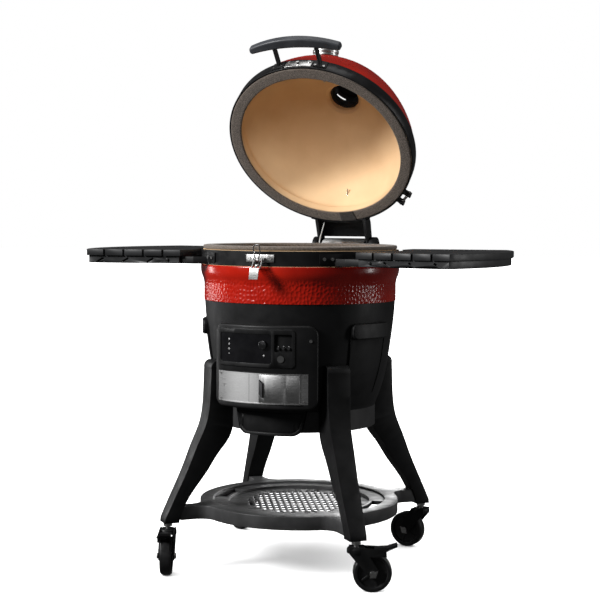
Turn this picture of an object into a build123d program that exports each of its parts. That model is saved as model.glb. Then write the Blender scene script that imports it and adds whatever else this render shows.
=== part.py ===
from build123d import *
import os
from math import atan2, cos, hypot, radians, sin, tan

# A kamado ceramic grill. Millimetres and degrees, +Z up, floor at z = 0.
# The pieces are drawn about the bowl's upright axis, with the front facing -Y, and are moved
# together at the end so that the origin is under the middle of the whole grill.
# An azimuth is measured about the bowl's axis, from the front towards +X.

# Bowl and rim
RIM_Z = 880.0              # plane between the gaskets, where the closed lid meets the base
BAND_R = 273.0             # outside of the steel bands
BAND_WALL = 4.0
BASE_BAND_LOW = RIM_Z - 53
BASE_BAND_TOP = RIM_Z - 13
CERAMIC_R = BAND_R - BAND_WALL - 0.5
RIM_INNER_R = 236.0
CERAMIC_WALL = 27.0
GASKET_IN = RIM_INNER_R + 0.5
GASKET_OUT = CERAMIC_R - 0.5
GASKET_THICK = 5.8         # under the lid
BASE_GASKET_THICK = 12.0
SEAM_GAP = 0.2             # between pieces that sit against each other
CASING_TOP = RIM_Z - 152
CASING_WALL = 4.0
RING_TOP = RIM_Z - 440     # plain ring at the bottom of the casing
RING_LOW = RIM_Z - 495
RING_R = BAND_R - 63
CERAMIC_FLOOR = RIM_Z - 424
# Casing outline: how far inside the band's radius, and how far under the rim
CASING_OUTLINE = [(9.5, 152), (13, 198), (23, 278), (36, 355), (59, 428)]

# Front housing
HOUSING_R = BAND_R
HOUSING_HALF = 33.0        # degrees each side of the front
HOUSING_TOP = RIM_Z - 206
HOUSING_LOW = RIM_Z - 427
HOUSING_WALL = 7.0
HOUSING_CORNER = 28.0
BEZEL_R = HOUSING_R + 3
BEZEL_LOW = RIM_Z - 317
BEZEL_TOP = RIM_Z - 216
BEZEL_AZ = (-30.0, 19.8)
DISPLAY_AZ = (-27.2, 6.9)
DISPLAY_LOW = RIM_Z - 306
DISPLAY_TOP = RIM_Z - 229
DISPLAY_SINK = 1.5
DISPLAY_CORNER = 7.0
PORTS_AZ = (8.6, 18.4)
PORTS_LOW = RIM_Z - 275
PORTS_TOP = RIM_Z - 229
PLUG_AZ = [10.6, 13.5, 16.4]
PLUG_R = 3.4
DIAL_AZ = 2.1
DIAL_Z = RIM_Z - 257
DIAL_R = 11.0
BUTTON_AZ = 12.2
BUTTON_Z = RIM_Z - 293
BUTTON_R = 9.0
BUTTON_TRAVEL = 1.5
FIT = 0.06                 # radial clearance of a turning or sliding fit

# Draft plate and its sliding door
PLATE_R = HOUSING_R + 0.5
PLATE_AZ = (-29.5, 27.2)
PLATE_LOW = RIM_Z - 412
PLATE_TOP = RIM_Z - 332
PLATE_THICK = 2.0
DOOR_AZ = (-0.4, 22.7)
WINDOW_AZ = (3.0, 21.0)
WINDOW_LOW = RIM_Z - 398
WINDOW_TOP = RIM_Z - 346
BLOWER_AZ = -15.5
BLOWER_Z = RIM_Z - 372
BLOWER_R = 29.0
BLOWER_BACK = HOUSING_R - 32    # radius of its back about the axis
BLOWER_FRONT = HOUSING_R - 12.6

# Side cowls
COWL_AZ = (54.0, 85.5)
COWL_LOW = RIM_Z - 427
COWL_TOP = RIM_Z - 204
HOOD_LOW = RIM_Z - 246

# Ash drawer
DRAWER_HALF = 82.0
DRAWER_LOW = RING_LOW + 5
DRAWER_TOP = RIM_Z - 444
DRAWER_BACK = 70.0
DRAWER_WALL = 2.0
FRONT_LOW = RING_LOW - 8
FRONT_TOP = RIM_Z - 432
FRONT_TOP_WIDTH = 205.0
FRONT_LOW_WIDTH = 177.0
FRONT_THICK = 8.0

# Legs, casters and bottom shelf
LEG_AZ = [-45.0, 45.0, 135.0, -135.0]
LEG_NAMES = ["front_left", "front_right", "back_right", "back_left"]
LEG_WIDTH = 64.0
FOOT_WIDTH = 46.0
FOOT_Z = 132.0
STEM_R = 6.0
STEM_PLACE = BAND_R + 110  # radius of the caster stems about the axis
STEM_TOP = FOOT_Z + 26
WHEEL_R = 50.0
WHEEL_WIDTH = 32.0
AXLE_R = 4.0
TRAIL = 42.0
FORK_GAP = 2.0
FORK_WALL = 3.5
FORK_HEAD_R = 24.0
FORK_LOW = 2 * WHEEL_R + 1
FORK_TOP = 2 * WHEEL_R + 16
PEDAL_REACH = 29.0         # brake pedal's pivot past the wheel's centre
PEDAL_Z = 2 * WHEEL_R + 6
TRAIL_TURN = {"front_left": -67.5, "front_right": 22.5, "back_right": 172.6, "back_left": 159.0}
SHELF_TOP = 174.0
SHELF_R = BAND_R + 3
SHELF_SKIRT = 36.0
SLOT_SIZE = (24.0, 8.0)
SLOT_PITCH = (17.0, 31.0)
SLOT_FIELD_R = 148.0
SLOT_TURN = 28.0

# Side shelves
TABLE_TOP = RIM_Z - 14
TABLE_THICK = 17.0
TABLE_R = 586.0
TABLE_INNER_X = BAND_R - 22
TABLE_CORNER_X = 514.0
TABLE_INNER_Y = 237.0
TABLE_CLEAR_R = BAND_R + 15
SLAT_EDGES = [300.5, 355.0, 410.0, 464.5]
SLAT_GAP = 5.0
RAIL_INSET = 6.0
RAIL_THICK = 12.0
RAIL_HEIGHT = 20.0
NOTCH_X = [338.0, 408.0, 478.0]
NOTCH_DEPTH = 6.0
FOLD_X = BAND_R + 17
FOLD_Z = RIM_Z - 41
FOLD_PIN_R = 4.0
BRACKET_Y = 220.5          # middle of each bracket arm, inside the rails

# Latch
LATCH_AZ = 8.2
PIVOT_Y = -BAND_R - 9
PIVOT_Z = RIM_Z - 36
LATCH_PIN_R = 2.0
LEVER_HALF = 12.5
BAIL_Y = -BAND_R - 19
BAIL_Z = RIM_Z - 50
BAIL_WIRE = 1.7

# Lid, drawn closed
LID_OPEN = 50.7
HINGE_Y = BAND_R + 83
HINGE_Z = RIM_Z - 12.5
HINGE_SHAFT_R = 6.0
EAR_R = 29.5
EAR_X = (82.0, 98.0)
ARM_X = (71.0, 80.0)
LID_BAND_LOW = RIM_Z + 2
LID_BAND_TOP = RIM_Z + 40
LID_LOW = RIM_Z + 0.2 + GASKET_THICK
DOME_START = 40.0          # height over the rim where the dome starts to curve in
DOME_HEIGHT = 270.0
DOME_P = 1.2               # the dome is R * (1 - u**P)**(1/Q), u from 0 at its start to 1 on top
DOME_Q = 2.36
VENT_HOLE_R = 45.0
VENT_FLARE = 8.0           # the vent hole widens by this at the inner face
VENT_R = 57.0
VENT_TOP = RIM_Z + 335
GAUGE_HEIGHT = 198.0       # thermometer's height over the rim
GAUGE_R = 37.5
GRIP_HALF = 134.0
GRIP_LOW = RIM_Z + 14
GRIP_HIGH = RIM_Z + 36
HANDLE_X = 61.0

# Cooking space
FIREBOX_OUT = RIM_INNER_R - 42
FIREBOX_WALL = 24.0
FIREBOX_LOW = CERAMIC_FLOOR + 22
FIREBOX_TOP = RIM_Z - 180
GRATE_Z = FIREBOX_LOW + 54
COOKING_R = RIM_INNER_R - 12
COOKING_Z = RIM_Z - 28
LEAD_R = 1.6


# ---- Shared helpers ----

def outline(*lines):
    """A face in the XZ plane from lines that join end to end."""
    edges = [edge for line in lines for edge in line.edges()]
    return Plane.XZ * make_face(edges)


def spun(points, start=0.0, end=360.0):
    """A closed outline of (radius, height) points turned about the axis between two azimuths."""
    face = Plane.XZ * make_face(Polyline(*points, close=True))
    return Rot(0, 0, start - 90) * revolve(face, Axis.Z, end - start)


def ring(inner, outer, low, high, start=0.0, end=360.0):
    """A ring, or part of one, with a rectangular section."""
    return spun([(inner, low), (outer, low), (outer, high), (inner, high)], start, end)


def drum(radius, low, high):
    """A solid cylinder about the axis."""
    return Pos(0, 0, low) * Cylinder(radius, high - low, align=(Align.CENTER, Align.CENTER, Align.MIN))


def facing(azimuth, radius, height):
    """A place on the bowl: local X to the right, Y up and Z straight out."""
    turn = radians(azimuth)
    out = (sin(turn), -cos(turn), 0)
    side = (cos(turn), sin(turn), 0)
    return Plane(origin=(radius * out[0], radius * out[1], height), x_dir=side, z_dir=out).location


def rod(start, end, radius):
    """A round bar between two points."""
    way = Vector(*end) - Vector(*start)
    bar = Cylinder(radius, way.length, align=(Align.CENTER, Align.CENTER, Align.MIN))
    return Plane(origin=start, z_dir=way).location * bar


def wire(points, radius):
    """Round bars through a list of points, with ball corners."""
    shape = rod(points[0], points[1], radius)
    for start, end in zip(points[1:], points[2:]):
        shape += Pos(*start) * Sphere(radius)
        shape += rod(start, end, radius)
    return shape


def plate_yz(points, x_low, x_high):
    """A flat outline of (y, z) points, from one X to another."""
    face = Plane.YZ * make_face(Polyline(*points, close=True))
    return Pos(x_low, 0, 0) * extrude(face, amount=x_high - x_low)


def both_sides(shape):
    """A piece and its mirror image in the X direction."""
    return shape + shape.mirror(Plane.YZ)


def four_ways(shape):
    """A piece at the front right, copied to all four quarters."""
    pair = both_sides(shape)
    return pair + pair.mirror(Plane.XZ)


def slot_rows(span, pitch, width, low, high):
    """Parallel cutters along X that fill a disc of radius span."""
    bars = []
    count = int(span // pitch)
    for row in range(-count, count + 1):
        half = (span ** 2 - (row * pitch) ** 2) ** 0.5 - width
        if half > width:
            bar = Box(2 * half, width, high - low, align=(Align.CENTER, Align.CENTER, Align.MIN))
            bars.append(Pos(0, row * pitch, low) * bar)
    return bars


# ---- Bowl ----

def casing_points(inset):
    """The casing's outline, moved in by an inset, from the top down."""
    return [(BAND_R - step - inset, RIM_Z - depth) for step, depth in CASING_OUTLINE]


def casing_core(grow=0.0):
    """Everything inside the casing's outer face, made a little larger by grow."""
    points = casing_points(-grow)
    curve = Spline(*points)
    top = points[0]
    low = points[-1]
    rest = Polyline(low, (RING_R + grow, RING_TOP), (RING_R + grow, RING_LOW - grow), (0, RING_LOW - grow),
                    (0, top[1] + grow), (top[0], top[1] + grow), top)
    return revolve(outline(curve, rest), Axis.Z)


def draft_window():
    """The way the draft air takes from the door to the firebox."""
    return ring(RIM_INNER_R - 60, PLATE_R - PLATE_THICK + 1, WINDOW_LOW, WINDOW_TOP, *WINDOW_AZ)


def blower_bore():
    """The hole that the blower blows through."""
    return facing(BLOWER_AZ, RIM_INNER_R - 50, BLOWER_Z) * Cylinder(
        12, 80, align=(Align.CENTER, Align.CENTER, Align.MIN))


def base_shell():
    """The glazed ceramic bowl, stepped in where the steel casing covers it."""
    hidden = casing_points(CASING_WALL + 0.5)
    outer = Spline(*hidden)
    top_z = RIM_Z - BASE_GASKET_THICK - SEAM_GAP
    wall = BAND_R - CASING_OUTLINE[0][0]
    lip = Polyline((CERAMIC_R, top_z), (CERAMIC_R, BASE_BAND_LOW - 0.3), (BAND_R, BASE_BAND_LOW - 0.3),
                   (BAND_R + 1, RIM_Z - 58), (BAND_R + 0.5, RIM_Z - 72), (BAND_R - 2, RIM_Z - 82),
                   (BAND_R - 7, RIM_Z - 92), (wall, RIM_Z - 102),
                   (wall, CASING_TOP + 0.3), (hidden[0][0], CASING_TOP + 0.3), hidden[0])
    foot = Polyline(hidden[-1], (hidden[-1][0] - 24, CERAMIC_FLOOR - 3), (55, CERAMIC_FLOOR - 3),
                    (55, CERAMIC_FLOOR + 22), (FIREBOX_OUT + 3, CERAMIC_FLOOR + 22))
    inner = Spline((FIREBOX_OUT + 3, CERAMIC_FLOOR + 22), (hidden[3][0] - CERAMIC_WALL, hidden[3][1]),
                   (hidden[1][0] - CERAMIC_WALL, hidden[1][1]), (RIM_INNER_R, top_z - 50))
    close = Polyline((RIM_INNER_R, top_z - 50), (RIM_INNER_R, top_z), (CERAMIC_R, top_z))
    bowl = revolve(outline(outer, lip, foot, inner, close), Axis.Z)
    return bowl - draft_window() - blower_bore()


def lower_casing():
    """The tapered steel casing, with its plain ring and floor."""
    outer = casing_points(0)
    inner = casing_points(CASING_WALL)
    join_out = Polyline(outer[-1], (RING_R, RING_TOP), (RING_R, RING_LOW), (0, RING_LOW),
                        (0, RING_LOW + CASING_WALL), (RING_R - CASING_WALL, RING_LOW + CASING_WALL),
                        (RING_R - CASING_WALL, RING_TOP), inner[-1])
    top = Line(inner[0], outer[0])
    casing = revolve(outline(Spline(*outer), join_out, Spline(*inner), top), Axis.Z)
    mouth = Pos(0, -RING_R, (DRAWER_LOW + DRAWER_TOP) / 2) * Box(
        2 * DRAWER_HALF + 4, 80, DRAWER_TOP - DRAWER_LOW + 2)
    return casing - draft_window() - blower_bore() - mouth


def base_band():
    """The satin steel band around the bowl's rim."""
    band = ring(BAND_R - BAND_WALL, BAND_R, BASE_BAND_LOW, BASE_BAND_TOP)
    return fillet(band.edges().filter_by(GeomType.CIRCLE).group_by(SortBy.RADIUS)[-1], 1.2)


def base_gasket():
    """The flat knitted gasket on the bowl's rim."""
    return ring(GASKET_IN, GASKET_OUT, RIM_Z - BASE_GASKET_THICK - SEAM_GAP, RIM_Z - SEAM_GAP)


def firebox():
    """The ceramic ring that holds the charcoal, with a ledge for the fire grate."""
    inside = FIREBOX_OUT - FIREBOX_WALL
    body = spun([(inside - 18, GRATE_Z - 14), (inside, GRATE_Z - 14), (inside, FIREBOX_LOW),
                 (FIREBOX_OUT, FIREBOX_LOW), (FIREBOX_OUT, FIREBOX_TOP), (inside, FIREBOX_TOP),
                 (inside, GRATE_Z), (inside - 18, GRATE_Z)])
    return body - ring(inside - 30, FIREBOX_OUT + 5, FIREBOX_LOW + 4, GRATE_Z - 16, -20, 26)


def fire_grate():
    """The slotted cast plate under the charcoal."""
    radius = FIREBOX_OUT - FIREBOX_WALL - 3
    plate = drum(radius, GRATE_Z, GRATE_Z + 8)
    return plate - slot_rows(radius - 16, 18, 8, GRATE_Z - 1, GRATE_Z + 9)


def rack_frame():
    """The wire stand that carries the cooking grates on the firebox."""
    ring_z = COOKING_Z - 5
    post_r = FIREBOX_OUT - FIREBOX_WALL / 2
    frame = Pos(0, 0, ring_z) * Torus(COOKING_R - 6, 4)
    for turn in (30, 150, 270):
        way = Rot(0, 0, turn)
        frame += way * rod((post_r, 0, FIREBOX_TOP), (post_r, 0, ring_z), 4)
        frame += way * rod((post_r, 0, ring_z), (COOKING_R - 6, 0, ring_z), 4)
        frame += way * (Pos(post_r, 0, ring_z) * Sphere(4))
    return frame


def cooking_grates():
    """Two half-round grates that lift off."""
    low = COOKING_Z
    high = COOKING_Z + 8
    bars = [Pos(x, 0, low + 2) * Box(5, 2 * COOKING_R, 6, align=(Align.CENTER, Align.CENTER, Align.MIN))
            for x in range(-210, 211, 14)]
    frame = ring(COOKING_R - 7, COOKING_R, low, high)
    halves = []
    for side in (-1, 1):
        half = Pos(0, side * (COOKING_R / 2 + 1.5), low) * Box(
            2 * COOKING_R, COOKING_R, 10, align=(Align.CENTER, Align.CENTER, Align.MIN))
        rail = Pos(0, side * 5, low) * Box(2 * COOKING_R - 10, 7, 8, align=(Align.CENTER, Align.CENTER, Align.MIN))
        disc = drum(COOKING_R - 1, low, high)
        grate = (frame & half) + rail
        for bar in bars:
            grate += bar & half & disc
        halves.append(grate)
    return Compound(children=[half.solid() for half in halves])


# ---- Control housing ----

def rounded_sector(outer, low, high, start, end, corner, edge):
    """A block on the bowl with rounded corners and softened outer edges."""
    block = ring(RIM_INNER_R - 30, outer, low, high, start, end)
    lines = block.edges().filter_by(GeomType.LINE)
    flat = lines.filter_by(lambda e: abs(e.tangent_at(0).Z) < 0.1)
    block = fillet(flat, corner)
    if edge:
        face = block.faces().filter_by(lambda f: abs(hypot(f.center().X, f.center().Y) - outer) < 20)
        skin = face.sort_by(SortBy.AREA)[-1]
        block = fillet(skin.edges(), edge)
    return block


def shell_sector(inner, outer, low, high, start, end, corner):
    """Part of a ring with rounded corners, between two radii."""
    return rounded_sector(outer, low, high, start, end, corner, 0) - drum(inner, low - 1, high + 1)


def control_housing():
    """The moulded housing of the controls, hollow behind, open where the draft plate sits."""
    body = rounded_sector(HOUSING_R, HOUSING_LOW, HOUSING_TOP, -HOUSING_HALF, HOUSING_HALF, HOUSING_CORNER, 6)
    body += rounded_sector(BEZEL_R, BEZEL_LOW, BEZEL_TOP, *BEZEL_AZ, 10, 2)
    hollow = HOUSING_R - HOUSING_WALL
    body -= ring(150, hollow, PLATE_TOP + 9, HOUSING_TOP - 7, 2 - HOUSING_HALF, HOUSING_HALF - 2)
    body -= ring(150, hollow - 3, PLATE_LOW + 3, PLATE_TOP - 3, PLATE_AZ[0] + 4, PLATE_AZ[1] - 4)
    body -= ring(PLATE_R - PLATE_THICK, HOUSING_R + 10, PLATE_LOW - 0.3, PLATE_TOP + 0.3,
                 PLATE_AZ[0] - 0.2, PLATE_AZ[1] + 0.2)
    body -= draft_window()
    body += ring(HOUSING_R - 40, HOUSING_R - 4, BUTTON_Z - 14, BUTTON_Z + 14, BUTTON_AZ - 3.5, BUTTON_AZ + 3.5)
    body -= shell_sector(BEZEL_R - 4.5, BEZEL_R + 10, DISPLAY_LOW, DISPLAY_TOP, *DISPLAY_AZ, DISPLAY_CORNER)
    body -= shell_sector(BEZEL_R - 7, BEZEL_R + 10, PORTS_LOW, PORTS_TOP, *PORTS_AZ, 4)
    body -= dial_place(HOUSING_R - 20) * Cylinder(3 + FIT, 60)
    body -= button_place(HOUSING_R - 12) * Cylinder(
        BUTTON_R + 0.3, 40, align=(Align.CENTER, Align.CENTER, Align.MIN))
    return (body - casing_core(SEAM_GAP)).solids().sort_by(SortBy.VOLUME)[-1]


def dial_place(radius):
    """A place on the control dial's axis."""
    return facing(DIAL_AZ, radius, DIAL_Z)


def button_place(radius):
    """A place on the power button's axis."""
    return facing(BUTTON_AZ, radius, BUTTON_Z)


def display_glass():
    """The dark glass over the display and its touch keys."""
    back = BEZEL_R - 4.4
    pane = shell_sector(back, BEZEL_R - DISPLAY_SINK, DISPLAY_LOW + 0.2, DISPLAY_TOP - 0.2,
                        DISPLAY_AZ[0] + 0.05, DISPLAY_AZ[1] - 0.05, DISPLAY_CORNER)
    return pane - dial_place(back - 10) * Cylinder(3 + FIT, 60)


def control_dial():
    """The turned metal dial and its shaft."""
    outward = (Align.CENTER, Align.CENTER, Align.MIN)
    knob = dial_place(BEZEL_R - DISPLAY_SINK + 0.6) * Cylinder(DIAL_R, 8, align=outward)
    knob = chamfer(knob.edges().group_by(lambda e: round(e.center().Y, 1))[0], 1.0)
    return knob + dial_place(HOUSING_R - 12) * Cylinder(3, 16, align=outward)


def power_button():
    """The metal push button."""
    outward = (Align.CENTER, Align.CENTER, Align.MIN)
    cap = button_place(HOUSING_R - 9) * Cylinder(BUTTON_R, 14, align=outward)
    return cap - button_place(HOUSING_R + 4.3) * Cylinder(BUTTON_R - 3, 2, align=outward)


def probe_port_plugs():
    """Three rubber plugs in the probe ports."""
    floor = BEZEL_R - 7
    plugs = []
    for azimuth in PLUG_AZ:
        plug = facing(azimuth, floor, PORTS_LOW + 10) * Cylinder(
            PLUG_R, 5, align=(Align.CENTER, Align.CENTER, Align.MIN))
        plugs.append((plug - drum(floor + 0.02, PORTS_LOW - 9, PORTS_TOP)).solid())
    return Compound(children=plugs)


def draft_frame():
    """The stainless plate with the window that the draft door closes."""
    plate = ring(PLATE_R - PLATE_THICK, PLATE_R, PLATE_LOW, PLATE_TOP, *PLATE_AZ)
    for low in (PLATE_LOW, PLATE_TOP - 2.5):
        plate += ring(PLATE_R - 1, PLATE_R + 2.2, low, low + 2.5, PLATE_AZ[0] + 4, PLATE_AZ[1] - 4)
    plate -= ring(PLATE_R - 5, PLATE_R + 5, WINDOW_LOW, WINDOW_TOP, *WINDOW_AZ)
    slot = facing(-24.3, PLATE_R, RIM_Z - 370) * Box(1.6, 8, 10)
    return plate - slot


def draft_door():
    """The curved sliding door with its finger tab."""
    door = ring(PLATE_R + 0.35, PLATE_R + 1.7, PLATE_LOW + 2.9, PLATE_TOP - 2.9, *DOOR_AZ)
    middle = (WINDOW_LOW + WINDOW_TOP) / 2
    tab = [(-5, 24), (5, 14), (5, -24), (-5, -14)]
    grip = extrude(make_face(Polyline(*tab, close=True)), amount=7)
    return door + facing(DOOR_AZ[0] + 1.6, PLATE_R + 1.2, middle) * grip


def blower_housing():
    """The fan's round case behind the draft plate."""
    outward = (Align.CENTER, Align.CENTER, Align.MIN)
    back = BLOWER_BACK
    front = BLOWER_FRONT
    case = facing(BLOWER_AZ, back, BLOWER_Z) * Cylinder(BLOWER_R, front - back, align=outward)
    case -= facing(BLOWER_AZ, back + 2, BLOWER_Z) * Cylinder(BLOWER_R - 2, front - back - 4, align=outward)
    case -= facing(BLOWER_AZ, back - 5, BLOWER_Z) * Cylinder(12, 10, align=outward)
    case += facing(BLOWER_AZ, front - 10, BLOWER_Z) * Cylinder(2.5, 9, align=outward)
    return case - casing_core(SEAM_GAP)


def blower_impeller():
    """The bladed wheel of the fan."""
    outward = (Align.CENTER, Align.CENTER, Align.MIN)
    back = BLOWER_BACK + 5
    hub = Cylinder(8, 10, align=outward) + Cylinder(22, 2, align=outward)
    for blade in range(9):
        hub += Rot(0, 0, blade * 40) * (Pos(14, 0, 0) * Box(15, 1.4, 9, align=outward))
    hub -= Pos(0, 0, -1) * Cylinder(2.5 + FIT, 20, align=outward)
    return facing(BLOWER_AZ, back, BLOWER_Z) * hub


def side_cowl(side):
    """A moulded side cowl: a hood over a shallow panel with a long scoop."""
    start, end = COWL_AZ
    hood = rounded_sector(BAND_R - 3, HOOD_LOW, COWL_TOP, start, end, 16, 4)
    panel_r = BAND_R - 9
    points = casing_points(-4)
    low = (points[-1][0], COWL_LOW)
    face = outline(Spline(*points), Polyline(points[-1], low, (RING_R, COWL_LOW), (RING_R, points[0][1]), points[0]))
    panel = Rot(0, 0, start - 90) * revolve(face, Axis.Z, end - start)
    panel &= ring(RING_R - 5, BAND_R, COWL_LOW, COWL_TOP - 10, start, end)
    scoop_top = facing(end - 3.5, panel_r - 4, HOOD_LOW)
    scoop = [(-12, 0), (10, 0), (10, -60), (-4, -150), (-8, -150)]
    cut = scoop_top * (Pos(0, 0, -40) * extrude(make_face(Polyline(*scoop, close=True)), amount=80))
    panel -= cut - casing_core(2.0)
    cowl = (hood + panel) - casing_core(SEAM_GAP)
    cowl = cowl.solids().sort_by(SortBy.VOLUME)[-1]
    return cowl if side > 0 else cowl.mirror(Plane.YZ)


def mains_inlet():
    """The flush mains socket at the rear."""
    place = facing(180, BAND_R - 45, RIM_Z - 320)
    outward = (Align.CENTER, Align.CENTER, Align.MIN)
    block = place * Box(50, 36, 32, align=outward)
    socket = place * (Pos(0, 0, 18) * Box(28, 21, 30, align=outward))
    block = block - socket
    for x in (-8, 0, 8):
        block += place * (Pos(x, 0, 17) * Box(2, 6, 12, align=outward))
    return (block - casing_core(SEAM_GAP)).solids().sort_by(SortBy.VOLUME)[-1]


# ---- Ash drawer ----

def ash_drawer_tray():
    """The steel tray that catches the ash."""
    depth = DRAWER_TOP - DRAWER_LOW
    front = RING_R - 14
    tray = Pos(0, (DRAWER_BACK - front) / 2, DRAWER_LOW) * Box(
        2 * DRAWER_HALF, DRAWER_BACK + front, depth, align=(Align.CENTER, Align.CENTER, Align.MIN))
    tray -= Pos(0, (DRAWER_BACK - front) / 2, DRAWER_LOW + DRAWER_WALL) * Box(
        2 * (DRAWER_HALF - DRAWER_WALL), DRAWER_BACK + front - 2 * DRAWER_WALL, depth,
        align=(Align.CENTER, Align.CENTER, Align.MIN))
    neck = Pos(0, -front, DRAWER_LOW) * Box(
        2 * DRAWER_HALF - 20, 50, depth, align=(Align.CENTER, Align.MAX, Align.MIN))
    return tray + (neck & drum(RING_R + 4.4, DRAWER_LOW - 1, DRAWER_TOP + 1))


def ash_drawer_front():
    """The drawer's moulded front with a raised rim line."""
    def shield(inset):
        top = FRONT_TOP_WIDTH / 2 - inset
        low = FRONT_LOW_WIDTH / 2 - inset
        points = [(-low, FRONT_LOW + inset), (low, FRONT_LOW + inset), (top, FRONT_TOP - inset),
                  (-top, FRONT_TOP - inset)]
        face = make_face(Polyline(*points, close=True))
        face = fillet(face.vertices().group_by(Axis.Y)[0], 30 - inset / 2)
        return extrude(Plane.XZ * face, amount=2 * RING_R)
    back = RING_R + 4.5
    plate = shield(0) & ring(back, back + FRONT_THICK, FRONT_LOW - 1, FRONT_TOP + 1, -40, 40)
    line = shield(7) - shield(10)
    groove = line & ring(back + FRONT_THICK - 1.2, back + FRONT_THICK + 5, FRONT_LOW, FRONT_TOP, -40, 40)
    return plate - groove


# ---- Legs, bottom shelf and casters ----

def leg():
    """One moulded leg at azimuth 90, its inner side shaped to the casing."""
    outer = [(BAND_R - 3, RIM_Z - 335), (BAND_R - 1, RIM_Z - 390), (BAND_R + 3, RIM_Z - 442),
             (BAND_R + 12, RIM_Z - 485), (BAND_R + 33, FOOT_Z + 214), (BAND_R + 60, FOOT_Z + 148),
             (BAND_R + 90, FOOT_Z + 84), (BAND_R + 124, FOOT_Z + 12)]
    inner = [(BAND_R + 85, FOOT_Z), (BAND_R + 67, FOOT_Z + 50), (BAND_R + 38, FOOT_Z + 95),
             (BAND_R + 7, FOOT_Z + 136), (BAND_R - 26, FOOT_Z + 186), (BAND_R - 51, FOOT_Z + 218),
             (BAND_R - 65, RING_LOW)]
    top = RIM_Z - 313
    crown = Polyline((BAND_R - 65, RING_LOW), (RING_R - 6, RING_LOW), (RING_R - 6, top), (BAND_R - 16, top))
    shoulder = ThreePointArc((BAND_R - 16, top), (BAND_R - 6.5, top - 7), outer[0])
    foot = Polyline(outer[-1], (BAND_R + 125, FOOT_Z), inner[0])
    face = outline(Spline(*inner), crown, shoulder, Spline(*outer), foot)
    body = extrude(face, amount=LEG_WIDTH / 2, both=True)
    half = LEG_WIDTH / 2
    foot_half = FOOT_WIDTH / 2
    front = [(-half, RIM_Z), (-half, RIM_Z - 400), (-foot_half, FOOT_Z + 10), (-foot_half, 0),
             (foot_half, 0), (foot_half, FOOT_Z + 10), (half, RIM_Z - 400), (half, RIM_Z)]
    body &= plate_yz(front, 100, BAND_R + 200)
    stem_hole = Cylinder(STEM_R + SEAM_GAP, STEM_TOP - FOOT_Z + 2, align=(Align.CENTER, Align.CENTER, Align.MIN))
    return body - Pos(STEM_PLACE, 0, FOOT_Z - 1) * stem_hole


def placed_leg(azimuth):
    """A leg at its azimuth, cut to the casing."""
    return (Rot(0, 0, azimuth - 90) * leg()) - casing_core(SEAM_GAP)


def slot_grid():
    """Short slots in slanting columns, filling the middle of the bottom shelf."""
    places = []
    for column in range(-9, 10):
        for row in range(-5, 6):
            x = column * SLOT_PITCH[0]
            y = row * SLOT_PITCH[1]
            if hypot(x, y) < SLOT_FIELD_R:
                places.append(Pos(x, y) * SlotOverall(*SLOT_SIZE, rotation=90))
    return Sketch() + [Rot(0, 0, SLOT_TURN) * place for place in places]


def bottom_shelf(legs):
    """The moulded shelf between the legs, with a dished and slotted middle."""
    shape = Circle(SHELF_R)
    arm_end = BAND_R + 80
    for azimuth in LEG_AZ:
        arm = Pos(arm_end / 2 + 60, 0) * Rectangle(arm_end - 120, 42)
        shape += Rot(0, 0, azimuth - 90) * arm
    corners = shape.vertices().filter_by(lambda v: abs(hypot(v.X, v.Y) - SHELF_R) < 0.5)
    shape = fillet(corners, 42)
    low = SHELF_TOP - SHELF_SKIRT
    shelf = Pos(0, 0, low) * extrude(shape, amount=SHELF_SKIRT)
    shelf -= Pos(0, 0, low - 1) * extrude(offset(shape, amount=-7), amount=SHELF_SKIRT - 15)
    shelf -= drum(SHELF_R - 38, SHELF_TOP - 5, SHELF_TOP + 1)
    shelf -= drum(SHELF_R - 81, SHELF_TOP - 12, SHELF_TOP + 1)
    shelf -= Pos(0, 0, low) * extrude(slot_grid(), amount=SHELF_SKIRT)
    hand = ring(SHELF_R - 71, SHELF_R - 41, low - 1, SHELF_TOP + 1, 75, 105)
    shelf -= both_sides(hand)
    for piece in legs:
        shelf -= piece
    return shelf.solids().sort_by(SortBy.VOLUME)[-1]


def caster_place(azimuth, name):
    """The stem's foot on the floor, with X along the caster's trail."""
    turn = radians(azimuth)
    return Pos(STEM_PLACE * sin(turn), -STEM_PLACE * cos(turn), 0) * Rot(0, 0, TRAIL_TURN[name])


def caster_fork(braked):
    """A pressed fork with its axle bolt, trailing towards +X."""
    inside = WHEEL_WIDTH / 2 + FORK_GAP
    outside = inside + FORK_WALL
    side = [(-18, FORK_TOP), (20, FORK_TOP), (TRAIL + 14, WHEEL_R + 8), (TRAIL + 8, WHEEL_R - 11),
            (TRAIL - 8, WHEEL_R - 11), (-18, FORK_LOW)]
    face = Plane.XZ * make_face(Polyline(*side, close=True))
    cheeks = extrude(face, amount=outside, both=True)
    cheeks -= Box(400, 2 * inside, 400)
    head = drum(FORK_HEAD_R, FORK_LOW, FORK_TOP)
    head = fillet(head.edges().group_by(Axis.Z)[-1], 7)
    fork = cheeks + head
    if braked:
        fork += brake_lugs(inside, outside)
    upward = (Align.CENTER, Align.CENTER, Align.MIN)
    fork -= Pos(0, 0, FORK_LOW - 1) * Cylinder(STEM_R + FIT, FORK_TOP, align=upward)
    axle = Pos(TRAIL, 0, WHEEL_R) * Rot(90, 0, 0) * Cylinder(AXLE_R, 2 * outside + 2)
    heads = Pos(TRAIL, 0, WHEEL_R) * Rot(90, 0, 0) * Cylinder(8, 2 * outside + 9)
    heads -= Box(400, 2 * outside + 0.1, 400)
    fork -= axle
    return Compound(children=[fork.solid(), (axle + heads).solid()])


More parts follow.
